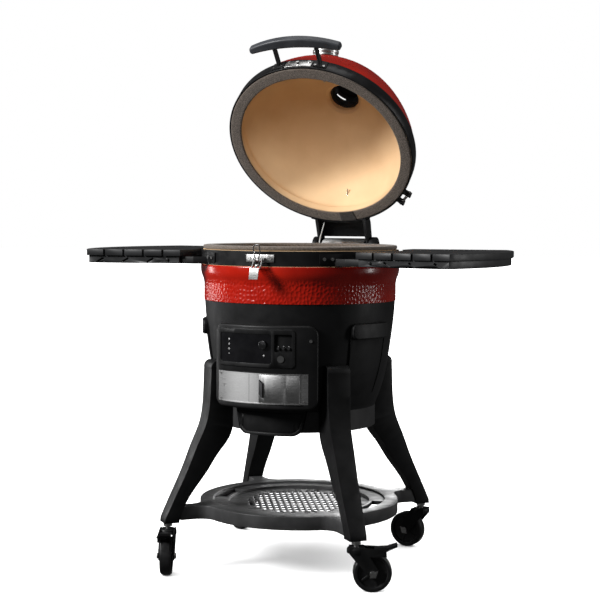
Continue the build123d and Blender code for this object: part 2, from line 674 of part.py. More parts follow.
def brake_lugs(inside, outside):
    """Ears on the fork that carry the brake pedal."""
    lug = [(0, FORK_TOP), (TRAIL + 34, FORK_TOP - 4), (TRAIL + 36, FORK_LOW - 8), (0, FORK_LOW - 8)]
    face = Plane.XZ * make_face(Polyline(*lug, close=True))
    ears = extrude(face, amount=outside, both=True) - Box(400, 2 * inside, 400)
    return ears - pedal_axis() * Cylinder(3 + FIT, 200)


def pedal_axis():
    """The pedal's pivot, across the fork."""
    return Pos(TRAIL + PEDAL_REACH, 0, PEDAL_Z) * Rot(90, 0, 0)


def brake_pedal():
    """The ribbed foot pedal that locks a wheel."""
    width = WHEEL_WIDTH - 2
    pivot_x = TRAIL + PEDAL_REACH
    pivot_z = PEDAL_Z
    pad = [(pivot_x - 24, pivot_z + 8), (pivot_x + 10, pivot_z + 10), (pivot_x + 34, pivot_z + 18),
           (pivot_x + 34, pivot_z + 12), (pivot_x + 14, pivot_z + 3), (pivot_x + 4, pivot_z - 3),
           (pivot_x - 4, pivot_z - 3), (pivot_x - 6, pivot_z + 3), (pivot_x - 24, pivot_z + 4)]
    plate = extrude(Plane.XZ * make_face(Polyline(*pad, close=True)), amount=width / 2, both=True)
    for rib in range(4):
        plate += Pos(pivot_x + 16 + 5 * rib, 0, pivot_z + 11 + 1.6 * rib) * Box(2, width, 3)
    pin = pedal_axis() * Cylinder(3, WHEEL_WIDTH + 2 * (FORK_GAP + FORK_WALL) + 5)
    return plate + pin


def caster_wheel():
    """A solid wheel with a tread, a recessed disc and a hub."""
    half = WHEEL_WIDTH / 2
    profile = [(AXLE_R + FIT, -half), (14, -half), (14, -half + 7), (WHEEL_R - 13, -half + 7),
               (WHEEL_R - 11, -half + 1), (WHEEL_R - 4, -half + 1), (WHEEL_R, -half + 5), (WHEEL_R, half - 5),
               (WHEEL_R - 4, half - 1), (WHEEL_R - 11, half - 1), (WHEEL_R - 13, half - 7), (14, half - 7),
               (14, half), (AXLE_R + FIT, half)]
    wheel = revolve(Plane.XZ * make_face(Polyline(*profile, close=True)), Axis.Z)
    for spoke in range(5):
        ribs = Rot(0, 0, spoke * 72) * (Pos(WHEEL_R / 2 + 1, 0, 0) * Box(WHEEL_R - 36 + 12, 5, WHEEL_WIDTH - 10))
        wheel += ribs
    return Pos(TRAIL, 0, WHEEL_R) * Rot(90, 0, 0) * wheel


# ---- Side shelves ----

def table_outline():
    """Plan of the right shelf."""
    corner_y = (TABLE_R ** 2 - TABLE_CORNER_X ** 2) ** 0.5
    start = (TABLE_INNER_X, -TABLE_INNER_Y)
    front = Line(start, (TABLE_CORNER_X, -corner_y))
    arc = ThreePointArc((TABLE_CORNER_X, -corner_y), (TABLE_R, 0), (TABLE_CORNER_X, corner_y))
    back = Polyline((TABLE_CORNER_X, corner_y), (TABLE_INNER_X, TABLE_INNER_Y), start)
    return make_face([*front.edges(), *arc.edges(), *back.edges()])


def table_slats():
    """The slats of the right shelf, as separate boards."""
    low = TABLE_TOP - TABLE_THICK
    plan = table_outline() - Circle(TABLE_CLEAR_R)
    edges = [TABLE_INNER_X - 20] + SLAT_EDGES + [TABLE_R + 20]
    boards = []
    for inner, outer in zip(edges, edges[1:]):
        strip = Pos((inner + outer) / 2, 0) * Rectangle(outer - inner - SLAT_GAP, 4 * TABLE_R)
        board = Pos(0, 0, low) * extrude(plan & strip, amount=TABLE_THICK)
        boards.extend(board.solids())
    return boards


def table_frame():
    """The rails under the slats, with the fold pin's holes."""
    plan = table_outline()
    rails = offset(plan, amount=-RAIL_INSET) - offset(plan, amount=-RAIL_INSET - RAIL_THICK)
    rails -= Rectangle(2 * (FOLD_X + 20), 2 * (BRACKET_Y + 4))
    rails -= Circle(TABLE_CLEAR_R)
    top = TABLE_TOP - TABLE_THICK
    frame = Pos(0, 0, top - RAIL_HEIGHT) * extrude(rails, amount=RAIL_HEIGHT)
    pin = Pos(FOLD_X, 0, FOLD_Z) * Rot(90, 0, 0) * Cylinder(FOLD_PIN_R + FIT, 4 * BRACKET_Y)
    frame -= pin
    skin = offset(plan, amount=-RAIL_INSET + 2) - offset(plan, amount=-RAIL_INSET - NOTCH_DEPTH)
    skin = Pos(0, 0, top - RAIL_HEIGHT) * extrude(skin, amount=RAIL_HEIGHT)
    for x in NOTCH_X:
        frame -= Pos(x, 0, top - RAIL_HEIGHT * 0.6) * Rot(0, 30, 0) * Box(20, 1300, 5) & skin
    return frame.solids().sort_by(SortBy.VOLUME)[-1]


def side_shelf(side):
    """A folding side shelf: slats fixed to a rail frame."""
    pieces = table_slats() + [table_frame()]
    if side < 0:
        pieces = [piece.mirror(Plane.YZ) for piece in pieces]
    return Compound(children=pieces)


def shelf_brackets():
    """Four brackets from the band to the shelves, each with its fold pin."""
    reach = BAND_R + 4.2
    low = FOLD_Z - 10
    clamp = ring(BAND_R + SEAM_GAP, reach, low + 4, BASE_BAND_TOP - 7, 33, 46)
    start = facing(42, reach, 0).position
    mid = (start.X + 34, -BRACKET_Y)
    arm = Polyline((start.X, start.Y), mid, (FOLD_X, -BRACKET_Y))
    path = offset(arm, amount=3.0, side=Side.BOTH)
    bar = Pos(0, 0, low) * extrude(make_face(path.edges()), amount=19)
    bar -= drum(BAND_R + SEAM_GAP, 0, RIM_Z)
    outboard = Pos(FOLD_X, 0, 0) * Box(24, 4 * BRACKET_Y, 4 * RIM_Z, align=(Align.MIN, Align.CENTER, Align.CENTER))
    boss = Pos(FOLD_X, -BRACKET_Y, FOLD_Z) * Rot(90, 0, 0) * Cylinder(9.5, 6)
    pin = Pos(FOLD_X, -BRACKET_Y - 10, FOLD_Z) * Rot(90, 0, 0) * Cylinder(FOLD_PIN_R, 20)
    bracket = clamp + (bar - outboard) + boss + pin
    return Compound(children=four_ways(bracket).solids())


# ---- Latch ----

def latch_base_plate():
    """The curved plate and ears that carry the latch."""
    plate = ring(BAND_R + SEAM_GAP, BAND_R + 2.4, RIM_Z - 42, RIM_Z - 22, -LATCH_AZ, LATCH_AZ)
    ear = [(-BAND_R - 1, PIVOT_Z + 6), (PIVOT_Y - 4, PIVOT_Z + 5), (PIVOT_Y - 4, PIVOT_Z - 5),
           (-BAND_R - 1, PIVOT_Z - 6)]
    ears = both_sides(plate_yz(ear, 13.5, 15.5)) - drum(BAND_R + SEAM_GAP, 0, RIM_Z)
    pin = Pos(0, PIVOT_Y, PIVOT_Z) * Rot(0, 90, 0) * Cylinder(LATCH_PIN_R, 31)
    return plate + ears + pin


def latch_lever():
    """The stainless lever, hanging open."""
    cheek = [(PIVOT_Y + 3.5, PIVOT_Z + 4), (PIVOT_Y - 4, PIVOT_Z + 4), (BAIL_Y - 3, BAIL_Z + 2),
             (-BAND_R - 38, RIM_Z - 62), (-BAND_R - 35, RIM_Z - 62), (BAIL_Y + 4, BAIL_Z - 2)]
    cheeks = both_sides(plate_yz(cheek, 10.5, LEVER_HALF))
    tab = [(-BAND_R - 34, RIM_Z - 56), (-BAND_R - 37, RIM_Z - 56), (-BAND_R - 44, RIM_Z - 85),
           (-BAND_R - 41.6, RIM_Z - 85)]
    blade = plate_yz(tab, -LEVER_HALF, LEVER_HALF)
    bore = Pos(0, PIVOT_Y, PIVOT_Z) * Rot(0, 90, 0) * Cylinder(LATCH_PIN_R + FIT, 60)
    barrel = Pos(0, BAIL_Y, BAIL_Z) * Rot(0, 90, 0) * Cylinder(BAIL_WIRE + 2, 6)
    web = plate_yz([(BAIL_Y + 1, BAIL_Z), (BAIL_Y - 3, BAIL_Z), (-BAND_R - 37, RIM_Z - 59),
                    (-BAND_R - 34, RIM_Z - 60)], -3, 3)
    eye = Pos(0, BAIL_Y, BAIL_Z) * Rot(0, 90, 0) * Cylinder(BAIL_WIRE + FIT, 60)
    return cheeks + blade - bore + (barrel + web - eye)


def latch_bail():
    """The wire loop that reaches up to the keeper."""
    top_z = RIM_Z + 3.3
    half = [(0, BAIL_Y, BAIL_Z), (5, BAIL_Y, BAIL_Z), (5.5, BAIL_Y - 0.5, RIM_Z - 28),
            (9, BAIL_Y - 2, RIM_Z - 12), (9, BAIL_Y - 3, RIM_Z - 3), (6, BAIL_Y - 3.5, top_z - 1),
            (0, BAIL_Y - 3.5, top_z)]
    return both_sides(wire(half, BAIL_WIRE))


# ---- Hinge ----

def hinge_base_bracket():
    """The rear bracket: a plate on the band and two ears."""
    plate = ring(BAND_R + SEAM_GAP, BAND_R + 4.2, BASE_BAND_LOW + 2, BASE_BAND_TOP - 2, 157, 203)
    arm = [(BAND_R - 30, BASE_BAND_TOP - 12), (HINGE_Y - 28, BASE_BAND_TOP - 12), (HINGE_Y, HINGE_Z + 20),
           (HINGE_Y, HINGE_Z), (HINGE_Y - 8, HINGE_Z - 28), (BAND_R - 30, BASE_BAND_LOW + 2)]
    disc = Pos(EAR_X[0], HINGE_Y, HINGE_Z) * Rot(0, 90, 0) * Cylinder(
        EAR_R, EAR_X[1] - EAR_X[0], align=(Align.CENTER, Align.CENTER, Align.MIN))
    ear = plate_yz(arm, *EAR_X) - drum(BAND_R + SEAM_GAP, 0, 2 * RIM_Z)
    bracket = plate + both_sides(ear + disc)
    return bracket - shaft_bore(HINGE_SHAFT_R)


def shaft_bore(radius):
    """A bar along the hinge axis."""
    return Pos(0, HINGE_Y, HINGE_Z) * Rot(0, 90, 0) * Cylinder(radius, 2 * EAR_X[1] + 4)


def hinge_shaft_springs():
    """The hinge shaft and its two torsion springs."""
    shaft = shaft_bore(HINGE_SHAFT_R)
    spring = Pos(35, HINGE_Y, HINGE_Z) * Rot(0, 90, 0) * Cylinder(14, 56)
    for turn in range(10):
        gap = Cylinder(20, 2) - Cylinder(11.5, 4)
        spring -= Pos(10 + 5.6 * turn, HINGE_Y, HINGE_Z) * Rot(0, 90, 0) * gap
    spring -= shaft_bore(HINGE_SHAFT_R + 2)
    spring = spring.solids().sort_by(SortBy.VOLUME)[-1]
    return Compound(children=[shaft.solid(), spring, spring.mirror(Plane.YZ)])


def hinge_cover():
    """The bent stainless cover over the springs."""
    half = ARM_X[0] - 4
    outer = [(HINGE_Y - 26, HINGE_Z - 25), (HINGE_Y - 26, HINGE_Z + 10), (HINGE_Y - 14, HINGE_Z + 25),
             (HINGE_Y + 16, HINGE_Z + 25), (HINGE_Y + 28, HINGE_Z + 12), (HINGE_Y + 28, HINGE_Z - 25)]
    inner = [(HINGE_Y - 24, HINGE_Z - 26), (HINGE_Y - 24, HINGE_Z + 9), (HINGE_Y - 13, HINGE_Z + 23),
             (HINGE_Y + 15, HINGE_Z + 23), (HINGE_Y + 26, HINGE_Z + 11), (HINGE_Y + 26, HINGE_Z - 26)]
    cover = plate_yz(outer, -half, half) - plate_yz(inner, 2 - half, half - 2)
    cover -= shaft_bore(HINGE_SHAFT_R)
    stay = plate_yz([(BAND_R, HINGE_Z - 20), (HINGE_Y - 25, HINGE_Z - 20), (HINGE_Y - 25, HINGE_Z - 23),
                     (BAND_R, HINGE_Z - 23)], -30, 30)
    return cover + (stay - drum(BAND_R + 4.4, 0, 2 * RIM_Z))


# ---- Lid, drawn closed ----

def dome_point(height, inset):
    """A (radius, height) point on the dome, moved in along its normal by an inset."""
    span = DOME_HEIGHT - DOME_START
    u = (height - DOME_START) / span
    radius = CERAMIC_R * (1 - u ** DOME_P) ** (1 / DOME_Q)
    slope = CERAMIC_R / DOME_Q * (1 - u ** DOME_P) ** (1 / DOME_Q - 1) * DOME_P * u ** (DOME_P - 1) / span
    length = hypot(1, slope)
    return (radius - inset / length, RIM_Z + height - inset * slope / length)


def dome_line(inset):
    """The dome's outline from its straight lip to the vent hole."""
    steps = (0.04, 0.12, 0.24, 0.38, 0.52, 0.66, 0.78, 0.87, 0.94)
    heights = [DOME_START + (DOME_HEIGHT - DOME_START) * step for step in steps]
    points = [dome_point(height, inset) for height in heights]
    crown = (VENT_HOLE_R + (VENT_FLARE if inset else 0), RIM_Z + DOME_HEIGHT - 2 - inset)
    return [(CERAMIC_R - inset, RIM_Z + DOME_START - inset * 0.3)] + points + [crown]


def lid_shell():
    """The glazed ceramic dome with its vent hole and thermometer hole."""
    outer = dome_line(0)
    inner = dome_line(CERAMIC_WALL)
    inner[0] = (RIM_INNER_R, LID_LOW + 20)
    lip = Polyline(inner[0], (RIM_INNER_R, LID_LOW), (CERAMIC_R, LID_LOW), outer[0])
    top = Polyline(outer[-1], (VENT_HOLE_R, inner[-1][1] + VENT_FLARE), inner[-1])
    shell = revolve(outline(lip, Spline(*outer), top, Spline(*inner)), Axis.Z)
    return shell - gauge_place(-60) * Cylinder(5, 200)


def gauge_place(lift):
    """The thermometer's place on the dome, lifted along the dome's normal."""
    near = dome_point(GAUGE_HEIGHT - 1, 0)
    far = dome_point(GAUGE_HEIGHT + 1, 0)
    normal = Vector(0, -(far[1] - near[1]), near[0] - far[0]).normalized()
    middle = dome_point(GAUGE_HEIGHT, 0)
    origin = Vector(0, -middle[0], middle[1]) + normal * lift
    return Plane(origin=origin, x_dir=(1, 0, 0), z_dir=normal).location


def thermometer():
    """The dial thermometer and its stem."""
    outward = (Align.CENTER, Align.CENTER, Align.MIN)
    case = gauge_place(3.2) * Cylinder(GAUGE_R - 4, 16, align=outward)
    case += gauge_place(12.2) * Cylinder(GAUGE_R, 7, align=outward)
    case += gauge_place(3.2) * Cylinder(GAUGE_R - 1, 3, align=outward)
    case -= gauge_place(17) * Cylinder(GAUGE_R - 3.5, 5, align=outward)
    stem = gauge_place(-70) * Cylinder(3.5, 78, align=outward)
    return case + stem


def lid_band():
    """The lid's steel band with its clamp lugs."""
    band = ring(BAND_R - BAND_WALL, BAND_R, LID_BAND_LOW, LID_BAND_TOP)
    for azimuth in (128.5, 136.0):
        lug = facing(azimuth, BAND_R - 2, RIM_Z + 17) * Box(5, 20, 26, align=(Align.CENTER, Align.CENTER, Align.MIN))
        band += lug
    return band


def lid_gasket():
    """The flat knitted gasket under the dome's rim."""
    return ring(GASKET_IN, GASKET_OUT, RIM_Z + 0.2, LID_LOW)


def grip_outline():
    """Plan of the bowed grip."""
    out_arc = ThreePointArc((-GRIP_HALF, -BAND_R - 56), (0, -BAND_R - 82), (GRIP_HALF, -BAND_R - 56))
    in_arc = ThreePointArc((-GRIP_HALF, -BAND_R - 36), (0, -BAND_R - 53), (GRIP_HALF, -BAND_R - 36))
    left = Line(in_arc @ 0, out_arc @ 0)
    right = Line(out_arc @ 1, in_arc @ 1)
    return make_face([*out_arc.edges(), *right.edges(), *in_arc.edges(), *left.edges()])


def handle_grip():
    """The bowed grip across the front of the lid."""
    grip = Pos(0, 0, GRIP_LOW) * extrude(grip_outline(), amount=GRIP_HIGH - GRIP_LOW)
    grip = fillet(grip.edges().filter_by(Axis.Z), 8)
    return fillet(grip.edges().group_by(Axis.Z)[0] + grip.edges().group_by(Axis.Z)[-1], 6)


def handle_brackets(grip):
    """Two brackets that carry the grip."""
    foot = ring(BAND_R + SEAM_GAP, BAND_R + 3.2, RIM_Z + 9, RIM_Z + 37, 9, 17)
    neck = Pos(HANDLE_X, -BAND_R - 26, RIM_Z + 25) * Box(7, 76, 16)
    neck -= drum(BAND_R + SEAM_GAP, 0, 2 * RIM_Z)
    bracket = foot + neck
    pair = both_sides(bracket) - grip
    arms = [solid for solid in pair.solids() if solid.center().Y > -BAND_R - 48]
    return Compound(children=sorted(arms, key=lambda solid: -solid.volume)[:2])


def latch_keeper():
    """The lid's keeper plate and hook for the wire loop."""
    plate = ring(BAND_R + SEAM_GAP, BAND_R + 2.4, RIM_Z + 6, RIM_Z + 32, -LATCH_AZ, LATCH_AZ)
    hook = plate_yz([(-BAND_R - 1, RIM_Z + 12), (-BAND_R - 11, RIM_Z + 12), (-BAND_R - 11, RIM_Z + 20),
                     (-BAND_R - 8, RIM_Z + 20), (-BAND_R - 8, RIM_Z + 15.5), (-BAND_R - 1, RIM_Z + 15.5)], -4, 4)
    return plate + (hook - drum(BAND_R + SEAM_GAP, 0, 2 * RIM_Z))


def lid_probe(shell):
    """The small temperature probe inside the dome."""
    probe = rod((10, RIM_INNER_R + 4, RIM_Z + 70), (10, RIM_INNER_R - 24, RIM_Z + 84), 2.2)
    probe += Pos(10, RIM_INNER_R - 6, RIM_Z + 75) * Sphere(4)
    inside = (probe - shell).solids().sort_by(Axis.Y)[0]
    return inside


def hinge_lid_bracket():
    """The lid's hinge arms and the cross plate on its band."""
    plate = ring(BAND_R + SEAM_GAP, BAND_R + 5, RIM_Z + 4, RIM_Z + 35, 160.5, 199.5)
    arm = [(BAND_R - 20, RIM_Z + 35), (BAND_R + 24, RIM_Z + 33), (HINGE_Y + 6, HINGE_Z + 15),
           (HINGE_Y, HINGE_Z), (HINGE_Y - 8, HINGE_Z - 14), (BAND_R - 20, RIM_Z + 4)]
    disc = Pos(ARM_X[0], HINGE_Y, HINGE_Z) * Rot(0, 90, 0) * Cylinder(
        17, ARM_X[1] - ARM_X[0], align=(Align.CENTER, Align.CENTER, Align.MIN))
    side = plate_yz(arm, *ARM_X) - drum(BAND_R + SEAM_GAP, 0, 2 * RIM_Z)
    back = [(BAND_R - 20, RIM_Z + 35), (BAND_R + 24, RIM_Z + 33), (HINGE_Y - 18.5, HINGE_Z + 26),
            (HINGE_Y - 20, HINGE_Z + 23.5), (BAND_R + 23, RIM_Z + 30), (BAND_R - 20, RIM_Z + 32)]
    panel = plate_yz(back, -ARM_X[0] - 1, ARM_X[0] + 1) - drum(BAND_R + SEAM_GAP, 0, 2 * RIM_Z)
    return plate + panel + both_sides(side + disc) - shaft_bore(HINGE_SHAFT_R + FIT)


def vent_base():
    """The cast foot of the top vent."""
    low = RIM_Z + DOME_HEIGHT
    body = ring(VENT_HOLE_R - 4, VENT_HOLE_R - 0.4, low - 8, low + 20)
    body += ring(VENT_HOLE_R - 4, VENT_R, low, low + 20)
    return body


def vent_dial():
    """The turning cap of the vent, open in four quadrants."""
    low = RIM_Z + DOME_HEIGHT + 20.4
    cap = ring(VENT_HOLE_R, VENT_R + 2, low, VENT_TOP - 12)
    cap += spun([(0, VENT_TOP - 12), (VENT_R + 2, VENT_TOP - 12), (VENT_R - 4, VENT_TOP - 4),
                 (VENT_R - 20, VENT_TOP), (0, VENT_TOP)])
    for turn in range(4):
        cap -= ring(VENT_HOLE_R - 4, VENT_R + 10, low + 6, VENT_TOP - 16, 25 + 90 * turn, 65 + 90 * turn)
    return cap + Pos(0, 0, VENT_TOP - 1) * Cylinder(9, 12)


# ---- Fasteners ----

def screw_head(azimuth, radius, height, size=4.0, proud=2.2):
    """A round screw head standing on a curved face."""
    head = facing(azimuth, radius - 1, height) * Cylinder(
        size, proud + 1, align=(Align.CENTER, Align.CENTER, Align.MIN))
    socket = facing(azimuth, radius + proud - 1, height) * Cylinder(
        size / 2, 4, align=(Align.CENTER, Align.CENTER, Align.MIN))
    return (head - drum(radius, 0, 2 * RIM_Z) - socket).solid()


def base_fasteners():
    """Screws and bolts of the base, and the four caster stems."""
    heads = [screw_head(HOUSING_HALF - 4.5, HOUSING_R, RIM_Z - 246)]
    for azimuth in (PLATE_AZ[0] + 2, PLATE_AZ[1] - 2):
        for height in (PLATE_LOW + 7, PLATE_TOP - 7):
            heads.append(screw_head(azimuth, PLATE_R, height, 3.2, 1.2))
    for azimuth in (35.5, 40.0, -35.5, -40.0, 140.0, 144.5, -140.0, -144.5):
        heads.append(screw_head(azimuth, BAND_R + 4.2, RIM_Z - 33, 4.2, 3.5))
    for azimuth in (-6.2, 6.2):
        heads.append(screw_head(azimuth, BAND_R + 2.4, RIM_Z - 32, 4.0, 2.0))
    for azimuth in LEG_AZ:
        turn = radians(azimuth)
        place = Pos(STEM_PLACE * sin(turn), -STEM_PLACE * cos(turn), FORK_LOW - 0.5)
        stem = place * Cylinder(STEM_R, STEM_TOP - FORK_LOW, align=(Align.CENTER, Align.CENTER, Align.MIN))
        stem += Pos(place.position.X, place.position.Y, FOOT_Z - 5) * Cylinder(12, 9.6)
        heads.append(stem.solid())
    return Compound(children=heads)


def lid_fasteners():
    """Bolts of the lid's band, keeper, handle and hinge plate."""
    heads = []
    for azimuth in (-6.2, 6.2):
        heads.append(screw_head(azimuth, BAND_R + 2.4, RIM_Z + 26, 4.0, 2.0))
    for azimuth in (-10.5, 10.5, -15.5, 15.5):
        heads.append(screw_head(azimuth, BAND_R + 3.2, RIM_Z + 13, 3.0, 2.0))
    for azimuth in (167.0, 173.0, 187.0, 193.0):
        heads.append(screw_head(azimuth, BAND_R + 5, RIM_Z + 20, 4.5, 3.0))
    bolt = facing(132.25, BAND_R + 15, RIM_Z + 17) * (Rot(0, 90, 0) * Cylinder(4, 56))
    for azimuth in (128.5, 136.0):
        bolt -= facing(azimuth, BAND_R - 2, RIM_Z + 17) * Box(
            5, 20, 26, align=(Align.CENTER, Align.CENTER, Align.MIN))
    heads.extend(bolt.solids())
    return Compound(children=heads)


# ---- Sensor lead between the base and the open lid ----

def opened(shape):
    """A lid piece turned back to the open position."""
    return shape.rotate(Axis((0, HINGE_Y, HINGE_Z), (1, 0, 0)), -LID_OPEN)


def lid_sensor_lead():
    """A thin lead from the base bracket to the open lid."""
    x = -58
    low = (BAND_R + 12, HINGE_Z - 4)
    swing = radians(LID_OPEN)
    dy = BAND_R + 9 - HINGE_Y
    dz = RIM_Z + 12 - HINGE_Z
    high = (HINGE_Y + dy * cos(swing) + dz * sin(swing), HINGE_Z - dy * sin(swing) + dz * cos(swing))
    bends = [(low[0] + 3, low[1] + 24), (high[0] - 14, high[1] - 22)]
    points = [low] + bends + [high]
    radii = []
    for before, here, after in zip(points, points[1:], points[2:]):
        first = (here[0] - before[0], here[1] - before[1])
        second = (after[0] - here[0], after[1] - here[1])
        turn = abs(atan2(first[0] * second[1] - first[1] * second[0],
                         first[0] * second[0] + first[1] * second[1]))
        radii.append(0.45 * min(hypot(*first), hypot(*second)) / tan(turn / 2))
    print("lead radii", [round(radius, 1) for radius in radii])
    path = FilletPolyline(*[(x, y, z) for y, z in points], radius=radii)
    section = Plane(origin=path @ 0, z_dir=path % 0) * Circle(LEAD_R)
    return sweep(section, path=path)


# ---- Assembly ----

def base_pieces():
    """Everything that stands still, and what moves on the base."""
    legs = {name: placed_leg(azimuth) for name, azimuth in zip(LEG_NAMES, LEG_AZ)}
    pieces = {
        "base_shell": base_shell(), "lower_casing": lower_casing(), "base_band": base_band(),
        "base_gasket": base_gasket(), "firebox": firebox(), "fire_grate": fire_grate(),
        "rack_frame": rack_frame(), "cooking_grates": cooking_grates(),
        "control_housing": control_housing(), "display_glass": display_glass(),
        "control_dial": control_dial(), "power_button": power_button(),
        "probe_port_plugs": probe_port_plugs(), "draft_frame": draft_frame(), "draft_door": draft_door(),
        "blower_housing": blower_housing(), "blower_impeller": blower_impeller(),
        "side_cowl_left": side_cowl(-1), "side_cowl_right": side_cowl(1), "mains_inlet": mains_inlet(),
        "ash_drawer_tray": ash_drawer_tray(), "ash_drawer_front": ash_drawer_front(),
        "bottom_shelf": bottom_shelf(legs.values()), "shelf_left": side_shelf(-1),
        "shelf_right": side_shelf(1), "shelf_brackets": shelf_brackets(),
        "latch_base_plate": latch_base_plate(), "latch_lever": latch_lever(), "latch_bail": latch_bail(),
        "hinge_base_bracket": hinge_base_bracket(), "hinge_shaft_springs": hinge_shaft_springs(),
        "hinge_cover": hinge_cover(), "base_fasteners": base_fasteners(), "lid_sensor_lead": lid_sensor_lead(),
    }
    for name, piece in legs.items():
        pieces["leg_" + name] = piece
    return pieces


def caster_pieces():
    """Forks, wheels and the two front brake pedals."""
    pieces = {}
    for name, azimuth in zip(LEG_NAMES, LEG_AZ):
        place = caster_place(azimuth, name)
        braked = name.startswith("front")
        pieces["caster_fork_" + name] = place * caster_fork(braked)
        pieces["caster_wheel_" + name] = place * caster_wheel()
        if braked:
            pieces["brake_pedal_" + name] = place * brake_pedal()
    return pieces


def lid_pieces():
    """The lid's pieces, turned open."""
    shell = lid_shell()
    grip = handle_grip()
    closed = {
        "lid_shell": shell, "lid_band": lid_band(), "lid_gasket": lid_gasket(), "handle_grip": grip,
        "handle_brackets": handle_brackets(grip), "latch_keeper": latch_keeper(),
        "thermometer": thermometer() - shell, "lid_probe": lid_probe(shell),
        "hinge_lid_bracket": hinge_lid_bracket(), "vent_base": vent_base() - shell,
        "vent_dial": vent_dial(), "lid_fasteners": lid_fasteners(),
    }
    return {name: opened(piece) for name, piece in closed.items()}


def export_all():
    """Move the grill over the middle of its own outline and write each piece."""
    pieces = {**base_pieces(), **caster_pieces(), **lid_pieces()}
    boxes = [piece.bounding_box() for piece in pieces.values()]
    middle_x = (min(box.min.X for box in boxes) + max(box.max.X for box in boxes)) / 2
    middle_y = (min(box.min.Y for box in boxes) + max(box.max.Y for box in boxes)) / 2
    print("axis at", round(-middle_x, 4), round(-middle_y, 4))
    os.makedirs("parts", exist_ok=True)
    for name, piece in pieces.items():
        export_step(Pos(-middle_x, -middle_y, 0) * piece, f"parts/{name}.step")


export_all()
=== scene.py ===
import math

import bpy
import numpy as np
from mathutils import Matrix, Vector


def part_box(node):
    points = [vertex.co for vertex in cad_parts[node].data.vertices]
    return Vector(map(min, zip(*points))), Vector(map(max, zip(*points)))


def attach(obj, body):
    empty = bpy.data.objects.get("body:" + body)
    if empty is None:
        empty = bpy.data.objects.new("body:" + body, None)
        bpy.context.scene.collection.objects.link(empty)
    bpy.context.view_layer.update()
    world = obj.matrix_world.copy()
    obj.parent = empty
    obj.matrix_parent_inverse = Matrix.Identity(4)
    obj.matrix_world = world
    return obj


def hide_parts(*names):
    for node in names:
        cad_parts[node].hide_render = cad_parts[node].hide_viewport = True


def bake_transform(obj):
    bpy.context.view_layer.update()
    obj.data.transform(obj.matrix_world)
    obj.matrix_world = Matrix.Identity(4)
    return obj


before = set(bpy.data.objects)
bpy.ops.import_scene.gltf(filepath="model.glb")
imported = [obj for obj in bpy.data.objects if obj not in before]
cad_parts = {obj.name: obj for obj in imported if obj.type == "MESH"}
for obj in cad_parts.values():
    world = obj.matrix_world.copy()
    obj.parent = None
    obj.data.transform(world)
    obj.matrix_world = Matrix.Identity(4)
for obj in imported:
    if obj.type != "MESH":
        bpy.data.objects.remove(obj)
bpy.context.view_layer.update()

# ---- Places, in metres; the band's box read from model.glb, the rest given ----
# Places, in metres, read from the frame
MM = 0.001
band_low, band_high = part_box("base_band")
AXIS = Vector(((band_low[0] + band_high[0]) / 2, (band_low[1] + band_high[1]) / 2, 0))
BAND_R = (band_high[0] - band_low[0]) / 2
BAND_DROP = 13 * MM        # the band's top under the rim
RIM_Z = band_high[2] + BAND_DROP
BEZEL_R = BAND_R + 3 * MM
LID_OPEN = math.radians(50.7)
HINGE_BACK = 83 * MM       # the hinge behind the band, and under the rim
HINGE_DROP = 12.5 * MM
HINGE = Vector((0, AXIS.y + BAND_R + HINGE_BACK, RIM_Z - HINGE_DROP))
SEAM = 0.2 * MM            # from the rim's plane to each gasket
LID_GASKET = 6 * MM        # the gaskets' far faces from the rim's plane
BASE_GASKET = 12.2 * MM
GAUGE_HEIGHT = 198 * MM    # the thermometer over the rim
PLATE_MIDDLE = 372 * MM    # the middle of the draft plate under the rim
SIGN_AZ = 68.7             # each hot-surface sign, in degrees from the front
OPENING = Matrix.Translation(HINGE) @ Matrix.Rotation(-LID_OPEN, 4, "X") @ Matrix.Translation(-HINGE)


def facing(azimuth, radius, height):
    """A place on the bowl: local X to the right, Y up and Z straight out."""
    turn = math.radians(azimuth)
    out = Vector((math.sin(turn), -math.cos(turn), 0))
    side = Vector((math.cos(turn), math.sin(turn), 0))
    place = Matrix((side, (0, 0, 1), out)).transposed().to_4x4()
    place.translation = AXIS + out * radius + Vector((0, 0, height))
    return place


# ---- Materials ----

def start_material(name, colour, roughness, metallic=0.0):
    """A new material with its principled shader."""
    material = bpy.data.materials.new(name)
    material.use_nodes = True
    shader = material.node_tree.nodes["Principled BSDF"]
    shader.inputs["Base Color"].default_value = (*colour, 1)
    shader.inputs["Roughness"].default_value = roughness
    shader.inputs["Metallic"].default_value = metallic
    return material, material.node_tree, shader


def object_coordinates(tree, stretch=(1, 1, 1)):
    """Object coordinates, stretched by a scale on each axis."""
    source = tree.nodes.new("ShaderNodeTexCoord")
    mapping = tree.nodes.new("ShaderNodeMapping")
    mapping.inputs["Scale"].default_value = stretch
    tree.links.new(source.outputs["Object"], mapping.inputs["Vector"])
    return mapping.outputs["Vector"]


def noise(tree, scale, detail=3.0, stretch=(1, 1, 1)):
    """A noise texture's value."""
    node = tree.nodes.new("ShaderNodeTexNoise")
    node.inputs["Scale"].default_value = scale
    node.inputs["Detail"].default_value = detail
    tree.links.new(object_coordinates(tree, stretch), node.inputs["Vector"])
    return node.outputs["Fac"]


def cells(tree, scale):
    """A Voronoi texture's distance."""
    node = tree.nodes.new("ShaderNodeTexVoronoi")
    node.inputs["Scale"].default_value = scale
    tree.links.new(object_coordinates(tree), node.inputs["Vector"])
    return node.outputs["Distance"]


def ramp(tree, value, low, high, low_at=0.35, high_at=0.65):
    """A value turned into a colour between two colours."""
    node = tree.nodes.new("ShaderNodeValToRGB")
    node.color_ramp.elements[0].position = low_at
    node.color_ramp.elements[0].color = (*low, 1)
    node.color_ramp.elements[1].position = high_at
    node.color_ramp.elements[1].color = (*high, 1)
    tree.links.new(value, node.inputs["Fac"])
    return node.outputs["Color"]


